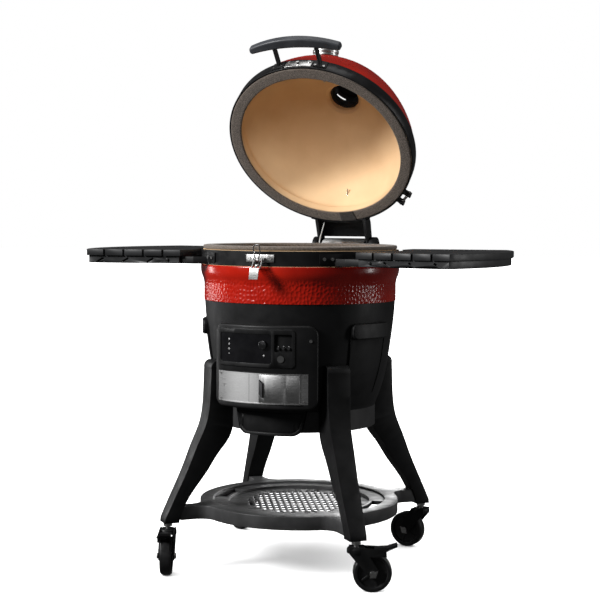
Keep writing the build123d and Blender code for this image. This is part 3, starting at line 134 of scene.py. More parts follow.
def vary_colour(tree, shader, value, low, high):
    """Let the surface colour wander between two colours."""
    tree.links.new(ramp(tree, value, low, high), shader.inputs["Base Color"])


def vary_roughness(tree, shader, value, low, high):
    """Let the roughness wander between two values."""
    tree.links.new(ramp(tree, value, (low,) * 3, (high,) * 3), shader.inputs["Roughness"])


def bump(tree, shader, value, strength, distance, before=None):
    """Raise the surface's normal by a texture."""
    node = tree.nodes.new("ShaderNodeBump")
    node.inputs["Strength"].default_value = strength
    node.inputs["Distance"].default_value = distance
    tree.links.new(value, node.inputs["Height"])
    if before:
        tree.links.new(before, node.inputs["Normal"])
    tree.links.new(node.outputs["Normal"], shader.inputs["Normal"])
    return node.outputs["Normal"]


def red_glaze():
    """Glossy red glaze whose colour wanders darker and lighter at random."""
    material, tree, shader = start_material("red_glaze", (0.55, 0.02, 0.008), 0.14)
    vary_colour(tree, shader, noise(tree, 9, 5), (0.42, 0.008, 0.003), (0.60, 0.018, 0.006))
    vary_roughness(tree, shader, noise(tree, 40), 0.18, 0.30)
    shader.inputs["Specular IOR Level"].default_value = 0.4
    shader.inputs["Coat Weight"].default_value = 0.15
    shader.inputs["Coat Roughness"].default_value = 0.06
    bump(tree, shader, noise(tree, 220, 2), 0.15, 0.0005)
    return material


def fired_clay(name, low, high):
    """Unglazed ceramic with faint mottling, pores and specks."""
    material, tree, shader = start_material(name, high, 0.85)
    vary_colour(tree, shader, noise(tree, 5, 6), low, high)
    first = bump(tree, shader, noise(tree, 380, 4), 0.35, 0.0005)
    bump(tree, shader, cells(tree, 160), 0.12, 0.0006, first)
    return material


def powder_coat(name, colour, roughness, grain=900, strength=0.18):
    """Black powder coat or moulded plastic with a fine grain."""
    material, tree, shader = start_material(name, colour, roughness)
    dark = tuple(part * 0.75 for part in colour)
    light = tuple(part * 1.25 for part in colour)
    vary_colour(tree, shader, noise(tree, 14, 4), dark, light)
    vary_roughness(tree, shader, noise(tree, 30, 5), roughness - 0.07, roughness + 0.07)
    bump(tree, shader, noise(tree, grain, 2), strength, 0.0003)
    shader.inputs["Specular IOR Level"].default_value = 0.3
    return material


def brushed(name, colour, roughness, stretch):
    """Brushed metal, its scratches drawn out along one way."""
    material, tree, shader = start_material(name, colour, roughness, 1.0)
    lines = noise(tree, 60, 6, stretch)
    dark = tuple(part * 0.82 for part in colour)
    vary_colour(tree, shader, lines, dark, colour)
    vary_roughness(tree, shader, lines, roughness - 0.09, roughness + 0.10)
    bump(tree, shader, lines, 0.12, 0.0002)
    shader.inputs["Anisotropic"].default_value = 0.4
    return material


def polished(name, colour, roughness):
    """Plated or polished metal with faint smears."""
    material, tree, shader = start_material(name, colour, roughness, 1.0)
    vary_roughness(tree, shader, noise(tree, 60, 4), roughness * 0.6, roughness * 1.6)
    bump(tree, shader, noise(tree, 300, 2), 0.04, 0.0002)
    return material


def woven_gasket(name, low, high):
    """Knitted heat-proof mesh."""
    material, tree, shader = start_material(name, high, 0.95)
    vary_colour(tree, shader, cells(tree, 420), low, high)
    first = bump(tree, shader, cells(tree, 420), 0.7, 0.0010)
    bump(tree, shader, noise(tree, 900, 2), 0.3, 0.0004, first)
    shader.inputs["Sheen Weight"].default_value = 0.25
    return material


def moulded(name, colour, roughness, coat=0.0):
    """Smooth moulded plastic or rubber with slight wear."""
    material, tree, shader = start_material(name, colour, roughness)
    light = tuple(min(1, part * 1.3 + 0.004) for part in colour)
    vary_colour(tree, shader, noise(tree, 35, 4), colour, light)
    vary_roughness(tree, shader, noise(tree, 70, 4), roughness * 0.85, roughness * 1.2)
    bump(tree, shader, noise(tree, 600, 2), 0.08, 0.0002)
    shader.inputs["Coat Weight"].default_value = coat
    return material


def cast(name, colour):
    """Seasoned cast iron."""
    material, tree, shader = start_material(name, colour, 0.6, 0.4)
    vary_roughness(tree, shader, noise(tree, 60, 5), 0.45, 0.75)
    bump(tree, shader, noise(tree, 350, 5), 0.5, 0.0008)
    return material


GLAZE = red_glaze()
CLAY = fired_clay("dome_clay", (0.70, 0.46, 0.25), (0.84, 0.59, 0.34))
FIREBRICK = fired_clay("firebrick", (0.50, 0.36, 0.24), (0.68, 0.52, 0.36))
CASING = powder_coat("casing_black", (0.009, 0.009, 0.0095), 0.50)
BAND = powder_coat("band_black", (0.010, 0.010, 0.0105), 0.38, 1200, 0.10)
RESIN = powder_coat("resin_black", (0.010, 0.010, 0.0105), 0.48, 700, 0.25)
# The bottom shelf's black is painted lighter than the other blacks, as a painted sheen of light on its top.
SHELF_PAINTED_SHEEN = powder_coat("shelf_black_painted_sheen", (0.060, 0.060, 0.061), 0.40, 700, 0.25)
HOUSING = powder_coat("housing_black", (0.009, 0.009, 0.0095), 0.46, 800, 0.20)
TABLE = powder_coat("table_black", (0.030, 0.0305, 0.032), 0.44, 500, 0.30)
GRIP = powder_coat("grip_black", (0.058, 0.061, 0.068), 0.40, 1000, 0.10)
DISPLAY = moulded("display_black", (0.003, 0.003, 0.004), 0.07, 1.0)
GASKET = woven_gasket("gasket_mesh", (0.10, 0.080, 0.064), (0.25, 0.205, 0.170))
PATCH = woven_gasket("gasket_patch", (0.035, 0.028, 0.024), (0.075, 0.062, 0.052))
IRON = cast("cast_iron", (0.035, 0.035, 0.036))
STEEL = brushed("stainless", (0.62, 0.62, 0.61), 0.32, (1, 1, 40))
PLATE = brushed("draft_plate", (0.60, 0.60, 0.60), 0.36, (1, 1, 60))
CHROME = polished("chrome", (0.78, 0.78, 0.78), 0.12)
SPRING = polished("spring_steel", (0.35, 0.35, 0.36), 0.30)
RUBBER = moulded("port_rubber", (0.012, 0.012, 0.013), 0.6)
WHEEL = moulded("wheel_black", (0.009, 0.009, 0.0095), 0.42)
LEAD = moulded("lead_white", (0.75, 0.75, 0.72), 0.4)
PRINT = moulded("printed_white", (0.72, 0.72, 0.72), 0.5)
TAB = moulded("tab_dark", (0.03, 0.03, 0.032), 0.5)
FACE = moulded("gauge_white", (0.62, 0.61, 0.58), 0.45)
DIAL = polished("dial_dark", (0.16, 0.16, 0.165), 0.28)
RING = powder_coat("ring_black", (0.045, 0.045, 0.046), 0.45)

NODE_MATERIALS = {
    CLAY: ["base_shell", "lid_shell"],
    FIREBRICK: ["firebox"],
    CASING: ["lower_casing", "hinge_base_bracket", "hinge_lid_bracket", "shelf_brackets", "handle_brackets"],
    BAND: ["base_band", "lid_band"],
    SHELF_PAINTED_SHEEN: ["bottom_shelf"],
    RESIN: ["side_cowl_left", "side_cowl_right", "leg_front_left", "leg_front_right",
            "leg_back_left", "leg_back_right"],
    HOUSING: ["control_housing", "ash_drawer_front", "blower_housing", "blower_impeller", "mains_inlet"],
    TABLE: ["shelf_left", "shelf_right"],
    GRIP: ["handle_grip"],
    DISPLAY: ["display_glass"],
    IRON: ["fire_grate", "vent_base", "vent_dial"],
    STEEL: ["rack_frame", "cooking_grates", "hinge_cover", "ash_drawer_tray", "latch_base_plate",
            "latch_lever", "latch_keeper", "thermometer", "base_fasteners", "lid_fasteners"],
    PLATE: ["draft_frame", "draft_door"],
    CHROME: ["latch_bail", "power_button", "lid_probe"],
    DIAL: ["control_dial"],
    SPRING: ["hinge_shaft_springs"],
    RUBBER: ["probe_port_plugs"],
    WHEEL: ["caster_wheel_front_left", "caster_wheel_front_right", "caster_wheel_back_left",
            "caster_wheel_back_right"],
    LEAD: ["lid_sensor_lead"],
}
CASTERS = ["front_left", "front_right", "back_left", "back_right"]
TRAIL_TURN = {"front_left": -67.5, "front_right": 22.5, "back_right": 172.6, "back_left": 159.0}


def paint_nodes():
    """Give every CAD node its material."""
    for material, names in NODE_MATERIALS.items():
        for name in names:
            set_material(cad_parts[name], material)
    for name in CASTERS:
        set_material(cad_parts["caster_fork_" + name], CASING)
    for name in ("front_left", "front_right"):
        set_material(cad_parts["brake_pedal_" + name], CASING)


def set_material(piece, material):
    """Make this the piece's only material."""
    piece.data.materials.clear()
    piece.data.materials.append(material)


def paint_faces(name, material, wanted):
    """Give a second material to the faces of a CAD node whose middle is where it is wanted."""
    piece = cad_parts[name]
    piece.data.materials.append(material)
    for polygon in piece.data.polygons:
        if wanted(piece.matrix_world @ polygon.center):
            polygon.material_index = len(piece.data.materials) - 1


def near_line(middle, direction, reach):
    """A test for points within reach of a line."""
    return lambda point: (point - middle).cross(direction).length < reach


def paint_details():
    """Steel axle bolts, the casing's plain lower ring and the draft door's dark grip."""
    for name, turn in TRAIL_TURN.items():
        low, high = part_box("caster_wheel_" + name)
        middle = Vector([(a + b) / 2 for a, b in zip(low, high)])
        across = Vector((-math.sin(math.radians(turn)), math.cos(math.radians(turn)), 0))
        paint_faces("caster_fork_" + name, STEEL, near_line(middle, across, 9 * MM))
    paint_faces("lower_casing", RING, lambda point: point.z < RIM_Z - 441 * MM)
    paint_faces("draft_door", TAB, lambda point: (point - AXIS).xy.length > BAND_R + 2.6 * MM)


def soften(name, width, segments=3, angle=35):
    """Round a CAD node's sharp edges with modifiers, keeping its own mesh."""
    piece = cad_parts[name]
    weld = piece.modifiers.new("weld", "WELD")
    weld.merge_threshold = 0.00002
    bevel = piece.modifiers.new("bevel", "BEVEL")
    bevel.width = width
    bevel.segments = segments
    bevel.limit_method = "ANGLE"
    bevel.angle_limit = math.radians(angle)
    bevel.harden_normals = True
    bevel.use_clamp_overlap = True
    for polygon in piece.data.polygons:
        polygon.use_smooth = True


# ---- Mesh helpers ----

def new_piece(name, points, faces, material, body):
    """A mesh piece that rides on a body."""
    mesh = bpy.data.meshes.new(name)
    mesh.from_pydata(points, [], faces)
    mesh.update()
    mesh.materials.append(material)
    piece = bpy.data.objects.new(name, mesh)
    bpy.context.scene.collection.objects.link(piece)
    for polygon in mesh.polygons:
        polygon.use_smooth = True
    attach(piece, body)
    return piece


def lathe(profile, steps, offset=None, place=None):
    """Points and faces of a closed profile of (radius, height) turned about the bowl's axis."""
    turns = np.linspace(0, 2 * math.pi, steps, endpoint=False)
    radius = np.repeat(np.array([point[0] for point in profile])[:, None], steps, 1)
    height = np.repeat(np.array([point[1] for point in profile])[:, None], steps, 1)
    if offset is not None:
        out, up = offset(turns, len(profile))
        radius = radius + out
        height = height + up
    x = AXIS.x + radius * np.cos(turns)
    y = AXIS.y + radius * np.sin(turns)
    points = np.stack([x, y, height], -1).reshape(-1, 3)
    if place is not None:
        matrix = np.array(place)
        points = points @ matrix[:3, :3].T + matrix[:3, 3]
    count = len(profile)
    faces = []
    for row in range(count):
        after = (row + 1) % count
        for step in range(steps):
            nxt = (step + 1) % steps
            faces.append((row * steps + step, after * steps + step, after * steps + nxt, row * steps + nxt))
    return points.tolist(), [tuple(reversed(face)) for face in faces]


def hammered(across, along, size, seed):
    """Depth of a hammered surface, from 0 in a hollow's middle to 1 on the ridges, on a wrapped field."""
    wraps = max(8, int(round(float(across.max()) / size)))
    generator = np.random.default_rng(seed)
    rows = int(np.ceil(float(along.max()) / size)) + 4
    jitter = generator.random((wraps, rows, 2)) * 0.8 + 0.1
    u = across / float(across.max()) * wraps * 0.999999
    v = along / size + 1
    column = np.floor(u).astype(int)
    row = np.floor(v).astype(int)
    best = np.full(u.shape, 9.0)
    second = np.full(u.shape, 9.0)
    for du in (-1, 0, 1):
        for dv in (-1, 0, 1):
            cell_u = column + du
            cell_v = np.clip(row + dv, 0, rows - 1)
            spot = jitter[cell_u % wraps, cell_v]
            gap = np.hypot(u - cell_u - spot[..., 0], (v - cell_v - spot[..., 1]) * 0.8)
            second = np.minimum(second, np.maximum(best, gap))
            best = np.minimum(best, gap)
    return np.clip(1 - (second - best) * 1.9, 0, 1) ** 1.5


# ---- Glazed skins ----

def skin_field(profile, steps, size, seed, fade_start, fade_end):
    """Hammered relief for the outer rows of a skin, fading in below its smooth lip."""
    lengths = [0.0]
    for before, after in zip(profile, profile[1:]):
        lengths.append(lengths[-1] + math.hypot(after[0] - before[0], after[1] - before[1]))
    along = np.repeat(np.array(lengths)[:, None], steps, 1)
    across = np.repeat(np.linspace(0, 2 * math.pi * BAND_R, steps, endpoint=False)[None, :], len(profile), 0)
    relief = hammered(across, along, size, seed)
    fade = np.clip((along - fade_start) / (fade_end - fade_start), 0, 1)
    return relief * fade


def glaze_skin(name, outer, inner, body, steps, fade, place=None, depth=1.5 * MM, seed=3):
    """A thin glazed skin with a hammered face over a ceramic piece."""
    relief = skin_field(outer, steps, 11.5 * MM, seed, *fade)
    normals = []
    for index in range(len(outer)):
        before = outer[max(0, index - 1)]
        after = outer[min(len(outer) - 1, index + 1)]
        run = (after[0] - before[0], after[1] - before[1])
        length = math.hypot(*run)
        normals.append((abs(run[1]) / length, abs(run[0]) / length if place is not None else 0.0))
    profile = outer + inner

    def offset(turns, count):
        out = np.zeros((count, len(turns)))
        up = np.zeros((count, len(turns)))
        for index, normal in enumerate(normals):
            out[index] = relief[index] * depth * normal[0]
            up[index] = relief[index] * depth * normal[1]
        return out, up

    points, faces = lathe(profile, steps, offset, place)
    return new_piece(name, points, faces, GLAZE, body)


def base_skin():
    """The red glazed wall between the rim band and the casing."""
    knots = [(BAND_R - 1.0 * MM, RIM_Z - 53.4 * MM), (BAND_R + 1.0 * MM, RIM_Z - 54.5 * MM),
             (BAND_R + 1.6 * MM, RIM_Z - 60 * MM), (BAND_R + 1.1 * MM, RIM_Z - 72 * MM),
             (BAND_R - 1.2 * MM, RIM_Z - 82 * MM), (BAND_R - 5.6 * MM, RIM_Z - 92 * MM),
             (BAND_R - 8.5 * MM, RIM_Z - 102 * MM), (BAND_R - 9.0 * MM, RIM_Z - 112 * MM),
             (BAND_R - 9.0 * MM, RIM_Z - 151.5 * MM)]
    outer = smooth_line(knots, 2.0 * MM)
    inner = [(point[0] - 2 * MM, point[1]) for point in reversed(outer[::6])]
    return glaze_skin("base_glaze", outer, inner, "base", 900, (34 * MM, 48 * MM), None, 1.4 * MM)


def smooth_line(knots, spacing):
    """A smooth line through knots, sampled at even steps."""
    points = []
    for index in range(len(knots) - 1):
        before = knots[max(0, index - 1)]
        start = knots[index]
        end = knots[index + 1]
        after = knots[min(len(knots) - 1, index + 2)]
        count = max(2, int(math.hypot(end[0] - start[0], end[1] - start[1]) / spacing))
        for step in range(count):
            t = step / count
            points.append(tuple(
                0.5 * (2 * b + (c - a) * t + (2 * a - 5 * b + 4 * c - d) * t ** 2
                       + (3 * b - a - 3 * c + d) * t ** 3)
                for a, b, c, d in zip(before, start, end, after)))
    return points + [knots[-1]]


DOME_START = 40 * MM
DOME_HEIGHT = 270 * MM
CERAMIC_R = BAND_R - 4.5 * MM


def dome_radius(height):
    """Radius of the dome at a height over the rim."""
    share = min(1.0, max(0.0, (height - DOME_START) / (DOME_HEIGHT - DOME_START)))
    return CERAMIC_R * (1 - share ** 1.2) ** (1 / 2.36)


def lid_skin():
    """The red glazed outside of the dome."""
    outer = []
    for step in range(151):
        share = 1 - (1 - step / 150) ** 2.1
        height = DOME_START + 0.6 * MM + share * (DOME_HEIGHT - DOME_START - 3.6 * MM)
        outer.append((dome_radius(height) + 0.7 * MM, RIM_Z + height + 0.5 * MM * share))
    outer = [point for point in outer if point[0] > 54 * MM]
    inner = [(point[0] - 2 * MM, point[1] - 1.5 * MM) for point in reversed(outer[::5])]
    return glaze_skin("lid_glaze", outer, inner, "lid", 640, (16 * MM, 40 * MM), OPENING, 1.3 * MM, 8)


# ---- Gaskets ----

def gasket_ring(name, node, low, high, body, place):
    """A knitted gasket with a pillowed section and a relief of stitches."""
    inner = BAND_R - 36.5 * MM
    outer = BAND_R - 5 * MM
    middle = (inner + outer) / 2
    half = (outer - inner) / 2
    rise = (high - low) / 2
    profile = []
    count = 36
    for step in range(count):
        turn = 2 * math.pi * step / count
        across = math.copysign(abs(math.cos(turn)) ** 0.35, math.cos(turn))
        upward = math.copysign(abs(math.sin(turn)) ** 0.6, math.sin(turn))
        profile.append((middle + half * 0.985 * across, (low + high) / 2 + rise * 0.93 * upward))
    steps = 900

    def offset(turns, rows):
        stitch = np.sin(turns * 225)[None, :] * np.sin(np.arange(rows) * 2.2)[:, None]
        up = stitch * 0.35 * MM
        side = np.sign(np.sin(2 * math.pi * np.arange(rows) / rows))
        return np.zeros((rows, len(turns))), up * side[:, None]

    points, faces = lathe(profile, steps, offset, place)
    piece = new_piece(name, points, faces, GASKET, body)
    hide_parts(node)
    return piece


def gasket_patch():
    """The darker patch where the ends of the lid's gasket meet."""
    points = []
    faces = []
    across = 10
    along = 14
    for row in range(along + 1):
        azimuth = 180 - 0.6 - 11.2 * row / along
        for column in range(across + 1):
            radius = BAND_R - 38.5 * MM + 33.0 * MM * column / across
            points.append(OPENING @ facing(azimuth, radius, RIM_Z + 0.1 * MM).translation)
    for row in range(along):
        for column in range(across):
            corner = row * (across + 1) + column
            faces.append((corner, corner + 1, corner + across + 2, corner + across + 1))
    piece = new_piece("gasket_patch", points, faces, PATCH, "lid")
    thick = piece.modifiers.new("thick", "SOLIDIFY")
    thick.thickness = 0.4 * MM
    thick.offset = 0
    return piece


# ---- Sensor lead ----

def sensor_lead():
    """The white lead from the base to the opened lid."""
    swing = LID_OPEN
    dy = 9 * MM - HINGE_BACK
    dz = 12 * MM + HINGE_DROP
    top = Vector((0, dy * math.cos(swing) + dz * math.sin(swing),
                  -dy * math.sin(swing) + dz * math.cos(swing)))
    top += HINGE
    x = -58 * MM
    low = Vector((x, AXIS.y + BAND_R + 12 * MM, HINGE.z - 4 * MM))
    high = Vector((x, top.y, top.z))
    bends = [low + Vector((0, 3 * MM, 24 * MM)), high + Vector((0, -14 * MM, -22 * MM))]
    curve = bpy.data.curves.new("sensor_lead_line", "CURVE")
    curve.dimensions = "3D"
    spline = curve.splines.new("NURBS")
    route = [low] + bends + [high]
    spline.points.add(len(route) - 1)
    for point, place in zip(spline.points, route):
        point.co = (*place, 1)
    spline.order_u = 3
    spline.use_endpoint_u = True
    curve.resolution_u = 16
    curve.bevel_depth = 1.6 * MM
    curve.bevel_resolution = 6
    curve.use_fill_caps = True
    drawn = bpy.data.objects.new("sensor_lead_line", curve)
    bpy.context.scene.collection.objects.link(drawn)
    bpy.context.view_layer.update()
    mesh = bpy.data.meshes.new_from_object(drawn.evaluated_get(bpy.context.evaluated_depsgraph_get()))
    bpy.data.objects.remove(drawn)
    piece = bpy.data.objects.new("sensor_lead", mesh)
    bpy.context.scene.collection.objects.link(piece)
    mesh.materials.clear()
    mesh.materials.append(LEAD)
    for polygon in mesh.polygons:
        polygon.use_smooth = True
    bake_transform(piece)
    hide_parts("lid_sensor_lead")
    return piece


# ---- Printed marks ----

def flat_mark(name, outlines, azimuth, radius, height, material=None, lift=0.25 * MM):
    """Thin raised shapes on the bowl's face."""
    place = facing(azimuth, radius, height)
    return raised_shapes(name, outlines, place, "base", material or PRINT, lift)


def raised_shapes(name, outlines, place, body, material, lift):
    """Thin raised shapes at a place, each an outline of (x, y) points in millimetres."""
    points = []
    faces = []
    for outline in outlines:
        start = len(points)
        count = len(outline)
        for depth in (0.0, lift):
            points.extend(place @ Vector((x * MM, y * MM, depth)) for x, y in outline)
        faces.append(tuple(range(start + count, start + 2 * count)))
        faces.append(tuple(reversed(range(start, start + count))))
        for index in range(count):
            after = (index + 1) % count
            faces.append((start + index, start + after, start + count + after, start + count + index))
    piece = new_piece(name, points, faces, material, body)
    for polygon in piece.data.polygons:
        polygon.use_smooth = False
    return piece


def stroke(points, width):
    """Four-cornered bars along a line of points."""
    bars = []
    for start, end in zip(points, points[1:]):
        dx, dy = end[0] - start[0], end[1] - start[1]
        length = math.hypot(dx, dy)
        nx, ny = -dy / length * width / 2, dx / length * width / 2
        ex, ey = dx / length * width * 0.3, dy / length * width * 0.3
        bars.append([(start[0] - ex + nx, start[1] - ey + ny), (start[0] - ex - nx, start[1] - ey - ny),
                     (end[0] + ex - nx, end[1] + ey - ny), (end[0] + ex + nx, end[1] + ey + ny)])
    return bars


def arc(radius, start, end, steps=10, middle=(0, 0)):
    """Points along an arc, angles in degrees."""
    return [(middle[0] + radius * math.cos(math.radians(start + (end - start) * step / steps)),
             middle[1] + radius * math.sin(math.radians(start + (end - start) * step / steps)))
            for step in range(steps + 1)]


def panel_marks():
    """Generic touch icons, port numbers and a hot-surface sign."""
    face = BEZEL_R - 1.45 * MM
    icons = {
        "icon_fan": sum([stroke([(0, 0), (2.4 * math.cos(t), 2.4 * math.sin(t))], 0.9)
                         for t in (0.5, 1.55, 2.6, 3.65, 4.7, 5.75)], []),
        "icon_clock": stroke(arc(2.3, 0, 360, 16), 0.6) + stroke([(0, 1.5), (0, 0), (1.1, 0)], 0.5),
        "icon_flame": stroke([(-1.5, -2), (-1.9, -0.3), (0, 2.4), (1.9, -0.3), (1.5, -2), (-1.5, -2)], 0.7),
        "icon_link": stroke(arc(2.4, 35, 145, 8, (0, -1.4)), 0.6)
        + stroke(arc(1.2, 35, 145, 6, (0, -1.4)), 0.6),
    }
    for index, (name, shapes) in enumerate(icons.items()):
        flat_mark(name, shapes, -20.3, face, RIM_Z + (-246 - 12.7 * index) * MM)
    star = sum([stroke([(side * 2.8 * math.cos(t), side * 2.8 * math.sin(t)) for side in (-1, 1)], 0.7)
                for t in (math.pi / 6, math.pi / 2, 5 * math.pi / 6)], [])
    flat_mark("icon_star", star, 2.5, face, RIM_Z - 285 * MM)
    digits = {
        "port_one": stroke([(-1.0, 1.6), (0.2, 2.6), (0.2, -2.6)], 0.8),
        "port_two": stroke(arc(1.4, 160, -20, 8, (0, 1.2)) + [(-1.5, -2.5), (1.6, -2.5)], 0.8),
        "port_three": stroke(arc(1.25, 150, -80, 8, (0, 1.3)), 0.8)
        + stroke(arc(1.4, 80, -150, 8, (0, -1.2)), 0.8),
    }
    for azimuth, (name, shapes) in zip((10.6, 13.5, 16.4), digits.items()):
        flat_mark(name, shapes, azimuth, BEZEL_R - 6.9 * MM, RIM_Z - 262 * MM, PRINT)
    sign = stroke([(-4, -3.2), (4, -3.2), (0, 4), (-4, -3.2)], 0.8)
    for x in (-1.4, 0, 1.4):
        sign += stroke([(x, -2.0), (x + 0.4, -1.0), (x, 0.0)], 0.5)
    for side in (-1, 1):
        name = "hot_sign_right" if side > 0 else "hot_sign_left"
        flat_mark(name, sign, side * SIGN_AZ, BAND_R - 4 * MM, RIM_Z - 231 * MM, PRINT)


def plate_seam():
    """The thin dark line down the draft plate."""
    line = [(-0.4, -38), (0.4, -38), (0.4, 38), (-0.4, 38)]
    height = RIM_Z - PLATE_MIDDLE
    flat_mark("plate_seam", [line], -6.5, BAND_R + 0.45 * MM, height, TAB, 0.15 * MM)


def gauge_place(lift):
    """The thermometer's place on the opened dome, lifted along the dome's normal."""
    drop = dome_radius(GAUGE_HEIGHT - MM) - dome_radius(GAUGE_HEIGHT + MM)
    normal = Vector((0, -2 * MM, drop)).normalized()
    place = Matrix(((1, 0, 0), normal.cross(Vector((1, 0, 0))), normal)).transposed().to_4x4()
    foot = Vector((AXIS.x, AXIS.y - dome_radius(GAUGE_HEIGHT), RIM_Z + GAUGE_HEIGHT))
    place.translation = foot + normal * lift
    return OPENING @ place


def gauge_face():
    """The thermometer's dial with its ticks, numbers and needle."""
    disc = arc(33.6, 0, 360, 48)[:-1]
    raised_shapes("gauge_dial", [disc], gauge_place(16.9 * MM), "lid", FACE, 0.3 * MM)
    ticks = []
    for step in range(31):
        turn = math.radians(225 - 9 * step)
        inner, width = (26, 1.0) if step % 5 == 0 else (28.5, 0.5)
        ends = [(reach * math.cos(turn), reach * math.sin(turn)) for reach in (inner, 31)]
        ticks += stroke(ends, width)
    for step in range(1, 7):
        turn = math.radians(225 - 45 * (step - 0.5))
        x, y = 21 * math.cos(turn), 21 * math.sin(turn)
        ticks += stroke([(x - 2, y + 2), (x - 2, y - 2)], 0.7)
        ticks += stroke(arc(1.6, 0, 360, 8, (x + 1.2, y)), 0.7)
    needle = [[(-1.2, -6), (1.2, -6), (0.4, 25), (-0.4, 25)], arc(3.2, 0, 360, 16)[:-1]]
    raised_shapes("gauge_ticks", ticks, gauge_place(17.2 * MM), "lid", TAB, 0.15 * MM)
    turned = gauge_place(17.4 * MM) @ Matrix.Rotation(math.radians(125), 4, "Z")
    raised_shapes("gauge_needle", needle, turned, "lid", TAB, 0.4 * MM)


# ---- Camera, lights and floor ----

def add_camera():
    """The camera at the photograph's viewing angle."""
    azimuth = math.radians(22.49)
    pitch = math.radians(3.35)
    roll = math.radians(0.29)
    distance = 3.991
    height = 0.9592
    forward = Vector((-math.sin(azimuth) * math.cos(pitch), math.cos(azimuth) * math.cos(pitch),
                      -math.sin(pitch)))
    right = Vector((math.cos(azimuth), math.sin(azimuth), 0))
    up = right.cross(forward)
    rolled_right = right * math.cos(roll) + up * math.sin(roll)
    rolled_up = -right * math.sin(roll) + up * math.cos(roll)
    camera = bpy.data.objects.new("camera", bpy.data.cameras.new("camera"))
    camera.data.lens = 86.37
    camera.data.sensor_width = 36
    place = Matrix((rolled_right, rolled_up, -forward)).transposed().to_4x4()
    place.translation = AXIS + Vector((math.sin(azimuth) * distance, -math.cos(azimuth) * distance, height))
    camera.matrix_world = place
    bpy.context.scene.collection.objects.link(camera)
    bpy.context.scene.camera = camera


def add_light(name, place, target, size, power):
    """A soft rectangular light aimed at a point."""
    light = bpy.data.lights.new(name, "AREA")
    light.shape = "RECTANGLE"
    light.size = size[0]
    light.size_y = size[1]
    light.energy = power
    lamp = bpy.data.objects.new(name, light)
    lamp.location = place
    lamp.rotation_euler = (Vector(target) - Vector(place)).to_track_quat("-Z", "Y").to_euler()
    bpy.context.scene.collection.objects.link(lamp)
    return lamp


def light_only(lamp, pieces):
    """Let a light reach only these pieces."""
    lit = bpy.data.collections.new(lamp.name + "_lit")
    for piece in pieces:
        lit.objects.link(piece)
    lamp.light_linking.receiver_collection = lit


def add_studio():
    """A white backdrop, soft lights, and a few lights that reach only some pieces."""
    world = bpy.data.worlds.new("studio")
    world.use_nodes = True
    tree = world.node_tree
    seen = tree.nodes["Background"]
    seen.inputs["Color"].default_value = (1, 1, 1, 1)
    seen.inputs["Strength"].default_value = 1.0
    ambient = tree.nodes.new("ShaderNodeBackground")
    ambient.inputs["Color"].default_value = (1, 1, 1, 1)
    ambient.inputs["Strength"].default_value = 0.05
    path = tree.nodes.new("ShaderNodeLightPath")
    mix = tree.nodes.new("ShaderNodeMixShader")
    tree.links.new(path.outputs["Is Camera Ray"], mix.inputs["Fac"])
    tree.links.new(ambient.outputs["Background"], mix.inputs[1])
    tree.links.new(seen.outputs["Background"], mix.inputs[2])
    tree.links.new(mix.outputs["Shader"], tree.nodes["World Output"].inputs["Surface"])
    bpy.context.scene.world = world
    add_floor()
    add_light("key", (-2.6, -3.0, 2.7), (0, 0, 0.9), (1.1, 1.1), 200)
    add_light("left_strip", (-3.2, 0.4, 1.2), (0, 0, 0.8), (0.4, 2.0), 22)
    add_light("right_strip", (3.1, 0.9, 1.4), (0, 0, 0.8), (0.4, 2.0), 26)
    add_light("top", (0, -0.4, 3.4), (0, 0, 0.8), (1.8, 1.8), 24)
    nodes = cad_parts
    dome_fill = add_light("dome_fill", (0.3, -3.0, 2.3), (0, 0.1, 1.2), (1.6, 1.6), 56)
    light_only(dome_fill, [nodes["lid_shell"], nodes["base_shell"]])
    card = add_light("steel_card", (-2.4, -2.6, 0.7), (0, 0, 0.6), (3.0, 1.4), 20)
    light_only(card, [nodes[name] for name in ("draft_frame", "draft_door", "latch_base_plate", "latch_lever",
                                               "hinge_cover", "base_fasteners")])
    rear = add_light("rear_card", (0.2, 3.2, 0.9), (0, 0, 0.2), (3.0, 1.2), 60)
    light_only(rear, [nodes["bottom_shelf"]])
    view = bpy.context.scene.view_settings
    view.view_transform = "Standard"


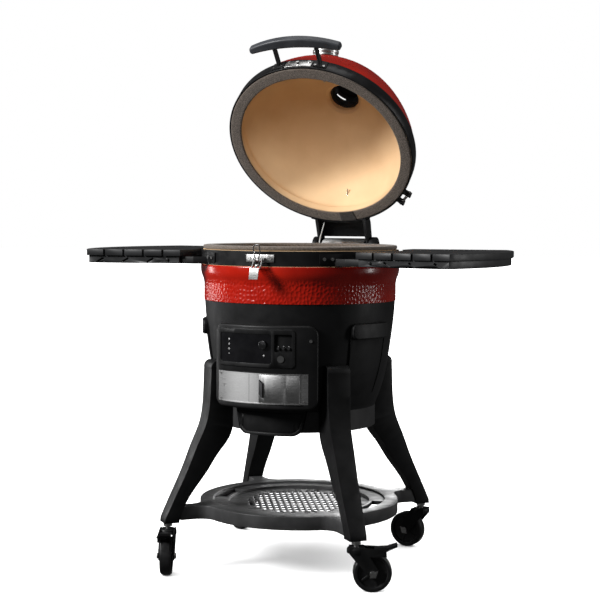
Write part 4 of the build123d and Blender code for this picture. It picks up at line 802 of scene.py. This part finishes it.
def add_floor():
    """A white floor with its own soft light from above, which shades nothing but the floor."""
    mesh = bpy.data.meshes.new("floor")
    half = 30
    corners = [(-half, -half, 0), (half, -half, 0), (half, half, 0), (-half, half, 0)]
    mesh.from_pydata(corners, [], [(0, 1, 2, 3)])
    material, tree, shader = start_material("floor_white", (0.95, 0.95, 0.95), 0.9)
    vary_colour(tree, shader, noise(tree, 2, 2), (0.94, 0.94, 0.94), (0.96, 0.96, 0.96))
    mesh.materials.append(material)
    floor = bpy.data.objects.new("floor", mesh)
    floor.location.z = -0.0005
    floor.visible_diffuse = False
    floor.visible_glossy = False
    bpy.context.scene.collection.objects.link(floor)
    wash = bpy.data.lights.new("floor_wash", "SUN")
    wash.energy = 7.8
    wash.angle = math.radians(150)
    lamp = bpy.data.objects.new("floor_wash", wash)
    bpy.context.scene.collection.objects.link(lamp)
    light_only(lamp, [floor])


def soften_nodes():
    """Rounded edges on the moulded and pressed CAD nodes."""
    for name in ("leg_front_left", "leg_front_right", "leg_back_left", "leg_back_right"):
        soften(name, 4 * MM)
    for name in ("shelf_left", "shelf_right"):
        soften(name, 1.6 * MM)
    soften("bottom_shelf", 2.0 * MM)
    soften("control_housing", 0.8 * MM)
    soften("ash_drawer_front", 1.0 * MM)
    soften("side_cowl_left", 1.5 * MM)
    soften("side_cowl_right", 1.5 * MM)
    for name in CASTERS:
        soften("caster_fork_" + name, 0.8 * MM)
        soften("caster_wheel_" + name, 1.0 * MM)
    for name in ("hinge_base_bracket", "hinge_lid_bracket", "hinge_cover", "shelf_brackets", "latch_lever",
                 "latch_base_plate", "draft_door", "vent_dial", "vent_base", "thermometer", "lid_band",
                 "latch_keeper", "handle_brackets"):
        soften(name, 0.6 * MM, 2)


add_camera()
add_studio()
paint_nodes()
paint_details()
soften_nodes()
base_skin()
lid_skin()
gasket_ring("base_gasket_knit", "base_gasket", RIM_Z - BASE_GASKET, RIM_Z - SEAM, "base", None)
gasket_ring("lid_gasket_knit", "lid_gasket", RIM_Z + SEAM, RIM_Z + LID_GASKET, "lid", OPENING)
gasket_patch()
sensor_lead()
panel_marks()
plate_seam()
gauge_face()
